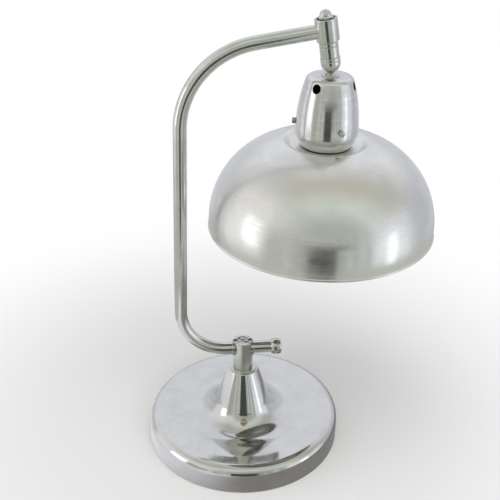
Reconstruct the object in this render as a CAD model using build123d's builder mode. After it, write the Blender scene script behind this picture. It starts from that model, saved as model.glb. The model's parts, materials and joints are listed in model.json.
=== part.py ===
from build123d import *
import os
from math import acos, asin, atan2, cos, degrees, hypot, radians, sin, sqrt, tan

# Jewellers lamp. Millimetres, +Z up, the origin on the table under the middle of the base.
# The bent arm lies in the XZ plane, and the shade hangs on the +X side of the post.

# Fits
running_gap = 0.05  # on the radius, where a shaft turns or slides in its bore
seat_gap = 0.05  # on the radius, where pieces are pushed or screwed together
face_gap = 0.1  # between flat faces that turn on each other

# Base
base_radius = 95.5
rim_height = 27.0
rim_round = 9.5
land_radius = 78.0  # where the flat ring inside the rim starts to fall
dish_curve = 95.0  # radius of the fall from the flat ring
dish_turn = 13.0  # degrees, steepest fall
foot_round = 25.5  # radius of the hollow between dish and cone
cone_radius = 14.3  # at the cone's top
cone_height = 76.5
lip_round = 1.6
shell_wall = 1.2
shell_lift = 0.5  # the shell's edge stays off the table
felt_thickness = 2.0
felt_inset = 4.0
plate_thickness = 1.5
plate_screw_radius = 2.0
plate_screw_head = 3.4
plate_screw_length = 7.0
plate_screw_angle = 90.0  # of the countersunk head
plate_screw_circle = 60.0
plate_screw_count = 3
weight_height = 14.5
weight_margin = 6.0  # between weight and shell wall
tower_radius = 18.0
tower_height = 28.0  # above the weight's disc
pocket_radius = 20.5  # under the weight, for the ring nut
pocket_depth = 7.5

# Swivel of the post
bearing_radius = 12.1
bearing_lift = 1.0  # above the base plate
bearing_collar = 13.3
bearing_collar_thickness = 1.5
bearing_nut_radius = 17.0
bearing_nut_thickness = 5.0
shelf_height = 24.0  # underside of the sleeve's inner shelf
shelf_thickness = 6.0
post_radius = 9.5
post_edge = 0.6
post_spigot_radius = 6.0
post_bore = 3.5
post_washer_radius = 8.4
post_washer_thickness = 1.0
post_nut_flats = 14.0
post_nut_thickness = 5.0
spigot_spare = 1.5  # thread showing under the nut
clamp_screw_radius = 5.4
clamp_screw_length = 1.6
clamp_screw_recess = 0.3  # below the post's top
clamp_screw_edge = 0.5
clamp_slot_width = 1.5
clamp_slot_depth = 0.8
clamp_slot_angle = -45.0

# Arm
tube_radius = 6.0
tube_wall = 1.0
arm_lift = 21.7  # above the collar on the cone
bend_start = 16.4  # left of the post's axis
lower_bend = 42.8
upright_length = 185.2
upright_lean = 2.0  # degrees towards the shade
upper_bend = 76.0
arm_rise = 8.9  # degrees, of the top run
arm_reach = 58.9  # from the upper bend to the knuckle's axis
sleeve_wall = 0.75
sleeve_flange = 7.9
sleeve_flange_thickness = 0.8
end_cap_start = 27.8
end_cap_length = 9.6
end_cap_radius = 8.05
end_cap_edge = 6.9
end_cap_face = 3.0
grub_radius = 1.5
grub_recess = 0.6
grub_angle = 60.0  # above the front

# Knuckle and its swivel, measured from where the arm meets the knuckle's axis
knuckle_radius = 9.5
knuckle_above = 10.15
knuckle_below = 9.35
knuckle_edge = 1.2
knuckle_step = 3.3
knuckle_recess_radius = 7.6
knuckle_recess_floor = 6.7
tube_stop = 4.6  # from the axis to the tube's end
bolt_radius = 3.0
bolt_head_radius = 4.6
bolt_head_thickness = 3.0
washer_radius = 6.3
washer_thickness = 0.9
acorn_flats = 11.6
acorn_hex = 4.0
acorn_height = 9.4
acorn_dome = 4.9
acorn_thread = 5.5
housing_radius = 7.9
housing_roof = 3.2
housing_length = 9.4
housing_bore = 4.9
housing_spigot_radius = 6.4
housing_spigot = 2.5

# Ball joint
ball_drop = 29.8  # from the knuckle's centre to the ball's centre
ball_radius = 6.0
cup_radius = 8.35
cup_lip = 4.2  # below the ball's centre
cup_lip_radius = 4.9
cup_shoulder = 3.2  # above the ball's centre, where the bowl starts
cup_groove = 2.7  # below the cup's top
cup_groove_size = 0.4
cup_edge = 0.5
pad_radius = 4.7
pad_crown = 1.6  # above the ball's top
pad_skirt = 2.0  # below the ball's top
pad_spring_bore = 2.2
pad_spring_wall = 0.5
stem_radius = 2.5
stem_bore = 1.3
stem_insert = 2.0  # above the ball's centre
stem_spare = 1.0  # thread showing under the holder's nut

# Cover over the lampholder, measured down from the ball's centre
cover_drop = 8.2
cover_height = 61.3
cover_radius = 27.1
cover_waist = 14.5  # from the lower edge up to the widest place
cover_curve = 144.6  # radius of the tapering wall
cover_under = 22.8  # radius of the turned-in lower edge
cover_shoulder = 5.0
cover_wall = 1.0
stem_washer_radius = 7.85
stem_washer_thickness = 1.0
stem_nut_flats = 9.2
stem_nut_thickness = 1.2
cover_nut_thickness = 3.0
vent_radius = 3.9
vent_drop = 6.6  # below the cover's top
vent_angle = -130.0
vent_pitch = 107.0
vent_count = 3
cover_screw_drop = 41.6
cover_screw_angle = -73.0
cover_screw_count = 3
cover_screw_radius = 1.9
cover_screw_head = 2.7
cover_screw_head_length = 3.2

# Shade
shade_lean = 1.2  # degrees, lower edge towards the arm
shade_gap = 0.2  # between cover and shade
shade_radius = 101.5
shade_curve = 76.9
shade_skirt = 5.6
shade_wall = 1.0
rim_bead = 1.3
well_radius = 36.5  # lip of the well that the cover stands in
well_floor = 31.0
well_depth = 4.2
well_lip = 2.5
well_round = 4.0
neck_radius = 20.2
neck_height = 26.0

# Lampholder and bulb
holder_drop = 11.0  # below the cover's top
holder_radius = 18.0
holder_wall = 0.9
holder_crown = 9.0
holder_slope = 8.0
holder_cap_height = 15.0
holder_cap_round = 2.0
holder_body_length = 37.0
holder_nut_thickness = 2.5
insulator_thickness = 9.0
insulator_lift = 1.0  # below the holder's cap
shell_bore = 13.6
shell_outer = 14.3
shell_flange = 0.8
shell_length = 24.0
contact_radius = 4.0
contact_thickness = 1.2
bulb_cap_radius = 13.3
bulb_cap_wall = 0.6
bulb_cap_length = 26.0
bulb_cap_top = 1.5
bulb_neck_radius = 12.6
bulb_neck_insert = 6.0
bulb_neck_length = 3.0
bulb_neck_curve = 25.0
bulb_radius = 29.5
bulb_wall = 0.8

# Push switch, square to the hollow in front of the cone
switch_circle = 32.0
switch_angle = -93.4
switch_neck = 3.2
switch_collar = 4.0
switch_collar_height = 1.3
switch_collar_sink = 0.6
switch_thread = 3.6  # below the shell's face
button_radius = 2.4
button_height = 1.8  # above the collar
button_flange = 2.9
button_flange_thickness = 0.8
button_round = 1.2
switch_body_radius = 5.5
switch_body_drop = 2.1  # below the shell's face
switch_body_length = 8.6
switch_body_floor = 1.2
switch_contact_radius = 2.0
switch_contact_length = 1.2

# Inlet for the flex in the rear wall
inlet_height = 12.0
inlet_bore = 3.2
inlet_neck = 4.5
inlet_flange = 6.3
inlet_outside = 2.0
inlet_clear = 1.5  # inner flange, behind the wall's outer face
inlet_inside = 1.5

# Heights that follow from the sizes above
plate_top = felt_thickness + plate_thickness
weight_top = plate_top + weight_height
tower_top = weight_top + tower_height
pocket_top = plate_top + pocket_depth
weight_radius = base_radius - shell_wall - weight_margin
bearing_bottom = plate_top + bearing_lift
bearing_top = cone_height + bearing_collar_thickness
arm_height = bearing_top + arm_lift
shelf_top = shelf_height + shelf_thickness
post_bottom = shelf_top + face_gap
post_washer_top = shelf_height - face_gap
post_nut_top = post_washer_top - post_washer_thickness
spigot_bottom = post_nut_top - post_nut_thickness - spigot_spare
sleeve_radius = tube_radius + running_gap + sleeve_wall
sleeve_bore = sleeve_radius + running_gap
sleeve_seat = post_radius + face_gap
sleeve_end = sleeve_seat + sleeve_flange_thickness
clamp_screw_bottom = arm_height + sleeve_radius + face_gap
clamp_screw_top = clamp_screw_bottom + clamp_screw_length
post_height = clamp_screw_top + clamp_screw_recess
end_cap_end = end_cap_start + end_cap_length
end_cap_middle = end_cap_start + end_cap_length / 2
tube_end = end_cap_end - end_cap_face
plate_screw_reach = plate_thickness + plate_screw_length

step_bottom = -knuckle_below - knuckle_step
washer_top = knuckle_recess_floor + washer_thickness
acorn_bottom = washer_top + face_gap
acorn_hex_top = acorn_bottom + acorn_hex
acorn_dome_base = acorn_bottom + acorn_height - acorn_dome
housing_top = step_bottom - face_gap
bolt_head_top = housing_top - housing_roof
bolt_head_bottom = bolt_head_top - bolt_head_thickness
housing_bottom = housing_top - housing_length
housing_spigot_bottom = housing_bottom - housing_spigot
ball_seat = ball_radius + running_gap
pad_top = -ball_drop + ball_radius + pad_crown
pad_bottom = -ball_drop + ball_radius - pad_skirt

cover_top = -cover_drop
cover_bottom = cover_top - cover_height
cover_waist_height = cover_bottom + cover_waist
cover_under_turn = degrees(asin(cover_waist / cover_under))
cover_wall_turn = degrees(asin((cover_top - cover_waist_height) / cover_curve))
stem_washer_top = cover_top + stem_washer_thickness
stem_nut_top = stem_washer_top + stem_nut_thickness
cover_nut_top = cover_top - cover_wall
vent_height = cover_top - vent_drop
cover_screw_height = cover_top - cover_screw_drop
shade_top = cover_bottom - shade_gap
bell_turn = degrees(acos((well_radius - shade_radius + shade_curve) / shade_curve))
shade_skirt_top = shade_top + well_depth - shade_curve * sin(radians(bell_turn))
rim_level = shade_skirt_top - shade_skirt
neck_top = shade_top + neck_height
holder_top = cover_top - holder_drop
holder_cap_bottom = holder_top - holder_cap_height
holder_bottom = holder_cap_bottom - holder_body_length
holder_roof = holder_top - holder_wall
holder_nut_bottom = holder_roof - holder_nut_thickness
holder_bore = holder_radius - holder_wall
stem_bottom = holder_nut_bottom - stem_spare
insulator_top = holder_cap_bottom - insulator_lift
insulator_bottom = insulator_top - insulator_thickness
shell_bottom = insulator_bottom - shell_length
contact_bottom = insulator_bottom - contact_thickness
bulb_cap_bottom = contact_bottom - bulb_cap_length
bulb_neck_top = bulb_cap_bottom + bulb_neck_insert
bulb_neck_bottom = bulb_cap_bottom - bulb_neck_length
bulb_neck_turn = degrees(acos((bulb_neck_radius + bulb_neck_curve) / (bulb_radius + bulb_neck_curve)))

# Centre of the hollow between dish and cone, and the cone's slope where it touches the hollow
hollow_radius = land_radius - (dish_curve + foot_round) * sin(radians(dish_turn))
hollow_height = rim_height - dish_curve + (dish_curve + foot_round) * cos(radians(dish_turn))
cone_run = hollow_radius - cone_radius
cone_fall = cone_height - hollow_height
cone_slope = degrees(atan2(cone_fall, cone_run) + asin(foot_round / hypot(cone_run, cone_fall)))

# Switch, measured from the shell's face along the switch's axis
switch_reach = hollow_radius - switch_circle
switch_rise = sqrt(foot_round**2 - switch_reach**2)
switch_tilt = atan2(switch_reach, switch_rise)
switch_neck_bottom = -switch_thread
switch_body_top = -switch_body_drop
switch_body_bottom = switch_body_top - switch_body_length
switch_cavity = switch_neck + seat_gap
switch_floor = switch_body_bottom + switch_body_floor
button_top = switch_collar_height + button_height
button_flange_top = switch_neck_bottom - face_gap
button_flange_bottom = button_flange_top - button_flange_thickness


# Shared shapes
def section_plane(frame):
    """Plane through a frame's axis, with the radius along X and the height along Y."""
    return Plane(origin=frame.origin, x_dir=frame.x_dir, z_dir=-frame.y_dir)


def turned(frame, *corners, mode=Mode.ADD):
    """Turned shape about a frame's axis, from corners given as radius and height."""
    with BuildSketch(section_plane(frame)) as section:
        with BuildLine():
            Polyline(*corners, close=True)
        make_face()
    revolve(section.sketch, axis=Axis(frame.origin, frame.z_dir), mode=mode)


def ring(frame, inner, outer, bottom, top, mode=Mode.ADD):
    """Turned ring, or a plain disc where the inner radius is 0."""
    turned(frame, (inner, bottom), (outer, bottom), (outer, top), (inner, top), mode=mode)


def hex_nut(frame, flats, bore, bottom, top):
    """Six-sided nut with a plain bore."""
    with BuildSketch(frame.offset(bottom)) as outline:
        RegularPolygon(radius=flats / 2, side_count=6, major_radius=False)
        Circle(bore, mode=Mode.SUBTRACT)
    extrude(outline.sketch, amount=top - bottom)


# Frames
ground = Plane.XY
run_frame = Plane(origin=(0, 0, arm_height), x_dir=(0, 1, 0), z_dir=(1, 0, 0))
plate_frame = Plane(origin=(0, 0, felt_thickness), x_dir=(1, 0, 0), z_dir=(0, 0, -1))
switch_frame = Plane(
    origin=(
        switch_circle * cos(radians(switch_angle)),
        switch_circle * sin(radians(switch_angle)),
        hollow_height - switch_rise,
    ),
    x_dir=(-sin(radians(switch_angle)), cos(radians(switch_angle)), 0),
    z_dir=(
        sin(switch_tilt) * cos(radians(switch_angle)),
        sin(switch_tilt) * sin(radians(switch_angle)),
        cos(switch_tilt),
    ),
)
inlet_frame = Plane(origin=(0, base_radius, inlet_height), x_dir=(1, 0, 0), z_dir=(0, 1, 0))
grub_frame = Plane(
    origin=(end_cap_middle, 0, arm_height),
    x_dir=(1, 0, 0),
    z_dir=(0, -cos(radians(grub_angle)), sin(radians(grub_angle))),
)

# Centre line of the arm, from its free end round to the knuckle
with BuildLine(Plane.XZ) as arm_line:
    low_run = Line((tube_end, arm_height), (-bend_start, arm_height))
    low_turn = JernArc(low_run @ 1, low_run % 1, lower_bend, -(90 + upright_lean))
    upright = PolarLine(low_turn @ 1, upright_length, direction=low_turn % 1)
    top_turn = JernArc(upright @ 1, upright % 1, upper_bend, -(90 - upright_lean - arm_rise))
    top_run = PolarLine(top_turn @ 1, arm_reach - tube_stop, direction=top_turn % 1)

arm_heading = arm_line.line % 1
arm_finish = arm_line.line @ 1
knuckle_centre = arm_finish + arm_heading * tube_stop
joint_frame = Plane(
    origin=knuckle_centre,
    x_dir=arm_heading,
    z_dir=(-sin(radians(arm_rise)), 0, cos(radians(arm_rise))),
)
ball_centre = knuckle_centre - joint_frame.z_dir * ball_drop
hang_frame = Plane(
    origin=ball_centre,
    x_dir=(cos(radians(shade_lean)), 0, -sin(radians(shade_lean))),
    z_dir=(sin(radians(shade_lean)), 0, cos(radians(shade_lean))),
)


# Base
def base_outline():
    """Outer line of the base, from its edge at the table up over the cone to its mouth."""
    edge = FilletPolyline(
        (base_radius, shell_lift),
        (base_radius, rim_height),
        (land_radius, rim_height),
        radius=rim_round,
    )
    dish = JernArc(edge @ 1, edge % 1, dish_curve, dish_turn)
    hollow = JernArc(dish @ 1, dish % 1, foot_round, -(dish_turn + cone_slope))
    FilletPolyline(
        hollow @ 1,
        (cone_radius, cone_height),
        (bearing_radius + seat_gap, cone_height),
        radius=lip_round,
    )


with BuildPart() as base_form:
    with BuildSketch(Plane.XZ):
        with BuildLine():
            base_outline()
            Polyline(
                (bearing_radius + seat_gap, cone_height),
                (0, cone_height),
                (0, shell_lift),
                (base_radius, shell_lift),
            )
        make_face()
    revolve(axis=Axis.Z)

with BuildPart() as base_shell:
    with BuildSketch(Plane.XZ):
        with BuildLine():
            base_outline()
            offset(amount=shell_wall, side=Side.LEFT)
        make_face()
    revolve(axis=Axis.Z)
    ring(
        switch_frame,
        0,
        switch_neck + seat_gap,
        switch_neck_bottom,
        switch_collar_height,
        mode=Mode.SUBTRACT,
    )
    ring(inlet_frame, 0, inlet_neck + seat_gap, -weight_margin, inlet_outside, mode=Mode.SUBTRACT)

with BuildPart() as base_weight:
    turned(
        ground,
        (pocket_radius, plate_top),
        (weight_radius, plate_top),
        (weight_radius, weight_top),
        (tower_radius, weight_top),
        (tower_radius, tower_top),
        (bearing_radius + seat_gap, tower_top),
        (bearing_radius + seat_gap, pocket_top),
        (pocket_radius, pocket_top),
    )
    with Locations(plate_frame):
        with PolarLocations(plate_screw_circle, plate_screw_count):
            Hole(plate_screw_radius + seat_gap, plate_screw_reach + face_gap)

with BuildPart() as base_plate:
    ring(ground, 0, base_radius - shell_wall - seat_gap, felt_thickness, plate_top)
    with Locations(plate_frame):
        with PolarLocations(plate_screw_circle, plate_screw_count):
            CounterSinkHole(
                plate_screw_radius + seat_gap,
                plate_screw_head + seat_gap,
                plate_screw_reach,
                plate_screw_angle,
            )

with BuildPart() as plate_screws:
    with Locations(ground.offset(felt_thickness)):
        with PolarLocations(plate_screw_circle, plate_screw_count):
            Cone(
                plate_screw_head,
                plate_screw_radius,
                (plate_screw_head - plate_screw_radius) / tan(radians(plate_screw_angle / 2)),
                align=(Align.CENTER, Align.CENTER, Align.MIN),
            )
            Cylinder(
                plate_screw_radius,
                plate_screw_reach,
                align=(Align.CENTER, Align.CENTER, Align.MIN),
            )

with BuildPart() as felt_pad:
    ring(ground, 0, base_radius - felt_inset, 0, felt_thickness)

with BuildPart() as post_bearing:
    turned(
        ground,
        (post_radius + running_gap, bearing_top),
        (post_radius + running_gap, shelf_top),
        (post_spigot_radius + running_gap, shelf_top),
        (post_spigot_radius + running_gap, shelf_height),
        (post_radius, shelf_height),
        (post_radius, bearing_bottom),
        (bearing_radius, bearing_bottom),
        (bearing_radius, cone_height),
        (bearing_collar, cone_height),
        (bearing_collar, bearing_top),
    )

with BuildPart() as bearing_nut:
    hex_nut(
        ground,
        2 * bearing_nut_radius,
        bearing_radius + seat_gap,
        pocket_top - bearing_nut_thickness,
        pocket_top,
    )

with BuildPart() as cord_grommet:
    turned(
        inlet_frame,
        (inlet_bore, -inlet_clear - inlet_inside),
        (inlet_flange, -inlet_clear - inlet_inside),
        (inlet_flange, -inlet_clear),
        (inlet_neck, -inlet_clear),
        (inlet_neck, 0),
        (inlet_flange, 0),
        (inlet_flange, inlet_outside),
        (inlet_bore, inlet_outside),
    )

# Push switch
with BuildPart() as switch_bush:
    ring(switch_frame, 0, switch_collar, -switch_collar_sink, switch_collar_height)
    add(base_form.part, mode=Mode.SUBTRACT)
    ring(switch_frame, 0, switch_neck, switch_neck_bottom, switch_collar_height)
    ring(
        switch_frame,
        0,
        button_radius + running_gap,
        switch_neck_bottom,
        switch_collar_height,
        mode=Mode.SUBTRACT,
    )

with BuildPart() as switch_button:
    with BuildSketch(section_plane(switch_frame)):
        with BuildLine():
            outline = FilletPolyline(
                (0, button_top),
                (button_radius, button_top),
                (button_radius, button_flange_top),
                radius=button_round,
            )
            Polyline(
                outline @ 1,
                (button_flange, button_flange_top),
                (button_flange, button_flange_bottom),
                (0, button_flange_bottom),
                outline @ 0,
            )
        make_face()
    revolve(axis=Axis(switch_frame.origin, switch_frame.z_dir))

with BuildPart() as switch_body:
    ring(switch_frame, 0, switch_body_radius, switch_body_bottom, switch_body_top)
    ring(switch_frame, 0, switch_cavity, switch_floor, switch_body_top, mode=Mode.SUBTRACT)

with BuildPart() as switch_contact:
    ring(
        switch_frame,
        0,
        switch_contact_radius,
        button_flange_bottom - switch_contact_length,
        button_flange_bottom,
    )

# Post and its clamp
with BuildPart() as post:
    turned(
        ground,
        (0, spigot_bottom),
        (post_spigot_radius, spigot_bottom),
        (post_spigot_radius, post_bottom),
        (post_radius, post_bottom),
        (post_radius, post_height - post_edge),
        (post_radius - post_edge, post_height),
        (0, post_height),
    )
    ring(ground, 0, post_bore, spigot_bottom, arm_height, mode=Mode.SUBTRACT)
    ring(ground, 0, clamp_screw_radius + seat_gap, arm_height, post_height, mode=Mode.SUBTRACT)
    ring(run_frame, 0, sleeve_bore, -sleeve_seat, sleeve_seat, mode=Mode.SUBTRACT)

with BuildPart() as post_washer:
    ring(ground, post_spigot_radius + seat_gap, post_washer_radius, post_nut_top, post_washer_top)

with BuildPart() as post_nut:
    hex_nut(
        ground,
        post_nut_flats,
        post_spigot_radius + seat_gap,
        post_nut_top - post_nut_thickness,
        post_nut_top,
    )

with BuildPart() as clamp_screw:
    turned(
        ground,
        (0, clamp_screw_bottom),
        (clamp_screw_radius, clamp_screw_bottom),
        (clamp_screw_radius, clamp_screw_top - clamp_screw_edge),
        (clamp_screw_radius - clamp_screw_edge, clamp_screw_top),
        (0, clamp_screw_top),
    )
    with BuildSketch(ground.offset(clamp_screw_top)):
        Rectangle(2 * clamp_screw_radius, clamp_slot_width, rotation=clamp_slot_angle)
    extrude(amount=-clamp_slot_depth, mode=Mode.SUBTRACT)

with BuildPart() as arm_sleeve:
    turned(
        run_frame,
        (tube_radius + running_gap, -sleeve_end),
        (sleeve_flange, -sleeve_end),
        (sleeve_flange, -sleeve_seat),
        (sleeve_radius, -sleeve_seat),
        (sleeve_radius, sleeve_end),
        (tube_radius + running_gap, sleeve_end),
    )

with BuildPart() as sleeve_ring:
    ring(run_frame, sleeve_radius + seat_gap, sleeve_flange, sleeve_seat, sleeve_end)

# Arm
with BuildPart() as arm_tube:
    with BuildSketch(Plane(origin=arm_line.line @ 0, z_dir=arm_line.line % 0)):
        Circle(tube_radius)
        Circle(tube_radius - tube_wall, mode=Mode.SUBTRACT)
    sweep(path=arm_line.line)

with BuildPart() as arm_end_cap:
    with BuildSketch(section_plane(run_frame)):
        with BuildLine():
            ThreePointArc(
                (end_cap_edge, end_cap_start),
                (end_cap_radius, end_cap_middle),
                (end_cap_edge, end_cap_end),
            )
            Polyline(
                (end_cap_edge, end_cap_end),
                (0, end_cap_end),
                (0, tube_end),
                (tube_radius + seat_gap, tube_end),
                (tube_radius + seat_gap, end_cap_start),
                (end_cap_edge, end_cap_start),
            )
        make_face()
    revolve(axis=Axis(run_frame.origin, run_frame.z_dir))
    ring(grub_frame, 0, grub_radius + seat_gap, tube_radius, end_cap_radius, mode=Mode.SUBTRACT)

with BuildPart() as end_cap_screw:
    ring(grub_frame, 0, grub_radius, tube_radius + seat_gap, end_cap_radius - grub_recess)

# Knuckle and swivel
with BuildPart() as knuckle:
    turned(
        joint_frame,
        (bolt_radius + running_gap, step_bottom),
        (housing_radius, step_bottom),
        (housing_radius, -knuckle_below),
        (knuckle_radius - knuckle_edge, -knuckle_below),
        (knuckle_radius, -knuckle_below + knuckle_edge),
        (knuckle_radius, knuckle_above),
        (knuckle_recess_radius, knuckle_above),
        (knuckle_recess_radius, knuckle_recess_floor),
        (bolt_radius + running_gap, knuckle_recess_floor),
    )
    with BuildSketch(Plane(origin=arm_finish, z_dir=-arm_heading)):
        Circle(tube_radius + seat_gap)
    extrude(amount=knuckle_radius, mode=Mode.SUBTRACT)

with BuildPart() as knuckle_washer:
    ring(joint_frame, bolt_radius + running_gap, washer_radius, knuckle_recess_floor, washer_top)

with BuildPart() as acorn_nut:
    hex_nut(joint_frame, acorn_flats, bolt_radius + seat_gap, acorn_bottom, acorn_hex_top)
    ring(joint_frame, 0, acorn_dome, acorn_hex_top, acorn_dome_base)
    with Locations(joint_frame.offset(acorn_dome_base)):
        Sphere(acorn_dome, arc_size1=0, align=(Align.CENTER, Align.CENTER, Align.MIN))
    ring(
        joint_frame, 0, bolt_radius + seat_gap, acorn_bottom, acorn_bottom + acorn_thread, mode=Mode.SUBTRACT
    )

with BuildPart() as swivel_bolt:
    turned(
        joint_frame,
        (0, bolt_head_bottom),
        (bolt_head_radius, bolt_head_bottom),
        (bolt_head_radius, bolt_head_top),
        (bolt_radius, bolt_head_top),
        (bolt_radius, acorn_bottom + acorn_thread - face_gap),
        (0, acorn_bottom + acorn_thread - face_gap),
    )

with BuildPart() as swivel_housing:
    turned(
        joint_frame,
        (bolt_radius + seat_gap, housing_top),
        (housing_radius, housing_top),
        (housing_radius, housing_bottom),
        (housing_spigot_radius, housing_bottom),
        (housing_spigot_radius, housing_spigot_bottom),
        (housing_bore, housing_spigot_bottom),
        (housing_bore, bolt_head_top),
        (bolt_radius + seat_gap, bolt_head_top),
    )

# Ball joint
with BuildPart() as ball_cup:
    with BuildSketch(section_plane(joint_frame)):
        with BuildLine():
            bowl = TangentArc(
                (cup_radius, -ball_drop + cup_shoulder),
                (cup_lip_radius, -ball_drop - cup_lip),
                tangent=(0, -1),
            )
            Polyline(
                bowl @ 1,
                (0, -ball_drop - cup_lip),
                (0, housing_bottom),
                (cup_radius - cup_edge, housing_bottom),
                (cup_radius, housing_bottom - cup_edge),
                bowl @ 0,
            )
        make_face()
    revolve(axis=Axis(joint_frame.origin, joint_frame.z_dir))
    turned(
        joint_frame,
        (cup_radius, housing_bottom - cup_groove - cup_groove_size),
        (cup_radius - cup_groove_size, housing_bottom - cup_groove),
        (cup_radius, housing_bottom - cup_groove + cup_groove_size),
        mode=Mode.SUBTRACT,
    )
    ring(
        joint_frame,
        0,
        housing_spigot_radius + seat_gap,
        housing_spigot_bottom - face_gap,
        housing_bottom,
        mode=Mode.SUBTRACT,
    )
    ring(joint_frame, 0, ball_seat, -ball_drop, housing_bottom, mode=Mode.SUBTRACT)
    with Locations(ball_centre):
        Sphere(ball_seat, mode=Mode.SUBTRACT)

with BuildPart() as ball_pad:
    ring(joint_frame, 0, pad_radius, pad_bottom, pad_top)
    with Locations(ball_centre):
        Sphere(ball_seat, mode=Mode.SUBTRACT)

with BuildPart() as pad_spring:
    turned(
        joint_frame,
        (pad_spring_bore, bolt_head_bottom - pad_spring_wall),
        (pad_spring_bore, bolt_head_bottom),
        (pad_radius, pad_top + pad_spring_wall),
        (pad_radius, pad_top),
    )

with BuildPart() as ball:
    with Locations(ball_centre):
        Sphere(ball_radius)
    ring(hang_frame, 0, stem_radius + running_gap, -2 * ball_radius, stem_insert, mode=Mode.SUBTRACT)

with BuildPart() as stem:
    ring(hang_frame, stem_bore, stem_radius, stem_bottom, stem_insert - face_gap)

# Cover
with BuildPart() as stem_washer:
    ring(hang_frame, stem_radius + seat_gap, stem_washer_radius, cover_top, stem_washer_top)

with BuildPart() as stem_nut:
    hex_nut(hang_frame, stem_nut_flats, stem_radius + seat_gap, stem_washer_top, stem_nut_top)

with BuildPart() as cover:
    with BuildSketch(section_plane(hang_frame)):
        with BuildLine() as cover_line:
            under = JernArc((cover_radius, cover_waist_height), (0, -1), cover_under, -cover_under_turn)
            taper = JernArc((cover_radius, cover_waist_height), (0, 1), cover_curve, cover_wall_turn)
            Line(taper @ 1, (0, cover_top))
            fillet(cover_line.vertices().sort_by_distance(taper @ 1)[0], radius=cover_shoulder)
            Polyline((0, cover_top), (0, cover_bottom), under @ 1)
        make_face()
    revolve(axis=Axis(hang_frame.origin, hang_frame.z_dir))
    offset(amount=-cover_wall, openings=cover.faces().sort_by(Axis.Z)[0])
    ring(hang_frame, 0, stem_radius + seat_gap, cover_nut_top, cover_top, mode=Mode.SUBTRACT)
    with Locations(hang_frame.offset(vent_height)):
        with PolarLocations(cover_radius / 2, vent_count, vent_angle, vent_count * vent_pitch):
            Cylinder(
                vent_radius,
                cover_radius,
                rotation=(0, 90, 0),
                align=(Align.CENTER, Align.CENTER, Align.MIN),
                mode=Mode.SUBTRACT,
            )
    with Locations(hang_frame.offset(cover_screw_height)):
        with PolarLocations(neck_radius, cover_screw_count, start_angle=cover_screw_angle):
            Cylinder(
                cover_screw_radius + seat_gap,
                cover_radius,
                rotation=(0, 90, 0),
                align=(Align.CENTER, Align.CENTER, Align.MIN),
                mode=Mode.SUBTRACT,
            )

with BuildPart() as cover_nut:
    hex_nut(
        hang_frame,
        stem_nut_flats,
        stem_radius + seat_gap,
        cover_nut_top - cover_nut_thickness,
        cover_nut_top,
    )

with BuildPart() as cover_screws:
    with Locations(hang_frame.offset(cover_screw_height)):
        with PolarLocations(neck_radius + seat_gap, cover_screw_count, start_angle=cover_screw_angle):
            Cylinder(
                cover_screw_radius,
                cover_radius - neck_radius,
                rotation=(0, 90, 0),
                align=(Align.CENTER, Align.CENTER, Align.MIN),
            )
        with PolarLocations(cover_radius + seat_gap, cover_screw_count, start_angle=cover_screw_angle):
            Cylinder(
                cover_screw_head,
                cover_screw_head_length,
                rotation=(0, 90, 0),
                align=(Align.CENTER, Align.CENTER, Align.MIN),
            )

# Shade
with BuildPart() as shade:
    with BuildSketch(section_plane(hang_frame)):
        with BuildLine() as shade_line:
            skirt = Line((shade_radius, rim_level), (shade_radius, shade_skirt_top))
            bell = JernArc(skirt @ 1, skirt % 1, shade_curve, bell_turn)
            well = Line(bell @ 1, (well_floor, shade_top))
            seat = Line(well @ 1, (neck_radius, shade_top))
            Line(seat @ 1, (neck_radius, neck_top))
            fillet(shade_line.vertices().sort_by_distance(bell @ 1)[0], radius=well_lip)
            fillet(shade_line.vertices().sort_by_distance(seat @ 0)[0], radius=well_round)
            offset(amount=shade_wall, side=Side.LEFT)
        make_face()
        with Locations((shade_radius - shade_wall / 2, rim_level)):
            Circle(rim_bead)
    revolve(axis=Axis(hang_frame.origin, hang_frame.z_dir))

# Lampholder
with BuildPart() as holder_cap:
    with BuildSketch(section_plane(hang_frame)):
        with BuildLine():
            FilletPolyline(
                (holder_radius, holder_cap_bottom),
                (holder_radius, holder_top - holder_slope),
                (holder_crown, holder_top),
                (stem_radius + seat_gap, holder_top),
                radius=holder_cap_round,
            )
            offset(amount=holder_wall, side=Side.LEFT)
        make_face()
    revolve(axis=Axis(hang_frame.origin, hang_frame.z_dir))

with BuildPart() as holder_nuts:
    hex_nut(
        hang_frame, stem_nut_flats, stem_radius + seat_gap, holder_top, holder_top + holder_nut_thickness
    )
    hex_nut(hang_frame, stem_nut_flats, stem_radius + seat_gap, holder_nut_bottom, holder_roof)

with BuildPart() as holder_body:
    ring(hang_frame, holder_bore, holder_radius, holder_bottom, holder_cap_bottom)

with BuildPart() as holder_insulator:
    ring(hang_frame, 0, holder_bore - seat_gap, insulator_bottom, insulator_top)

with BuildPart() as holder_shell:
    turned(
        hang_frame,
        (shell_bore, insulator_bottom),
        (shell_bore, shell_bottom),
        (shell_outer, shell_bottom),
        (shell_outer, insulator_bottom - shell_flange),
        (holder_bore - seat_gap, insulator_bottom - shell_flange),
        (holder_bore - seat_gap, insulator_bottom),
    )

with BuildPart() as holder_contact:
    ring(hang_frame, 0, contact_radius, contact_bottom, insulator_bottom)

# Bulb
with BuildPart() as bulb_cap:
    ring(hang_frame, 0, bulb_cap_radius, bulb_cap_bottom, contact_bottom)
    ring(
        hang_frame,
        0,
        bulb_cap_radius - bulb_cap_wall,
        bulb_cap_bottom,
        contact_bottom - bulb_cap_top,
        mode=Mode.SUBTRACT,
    )

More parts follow.
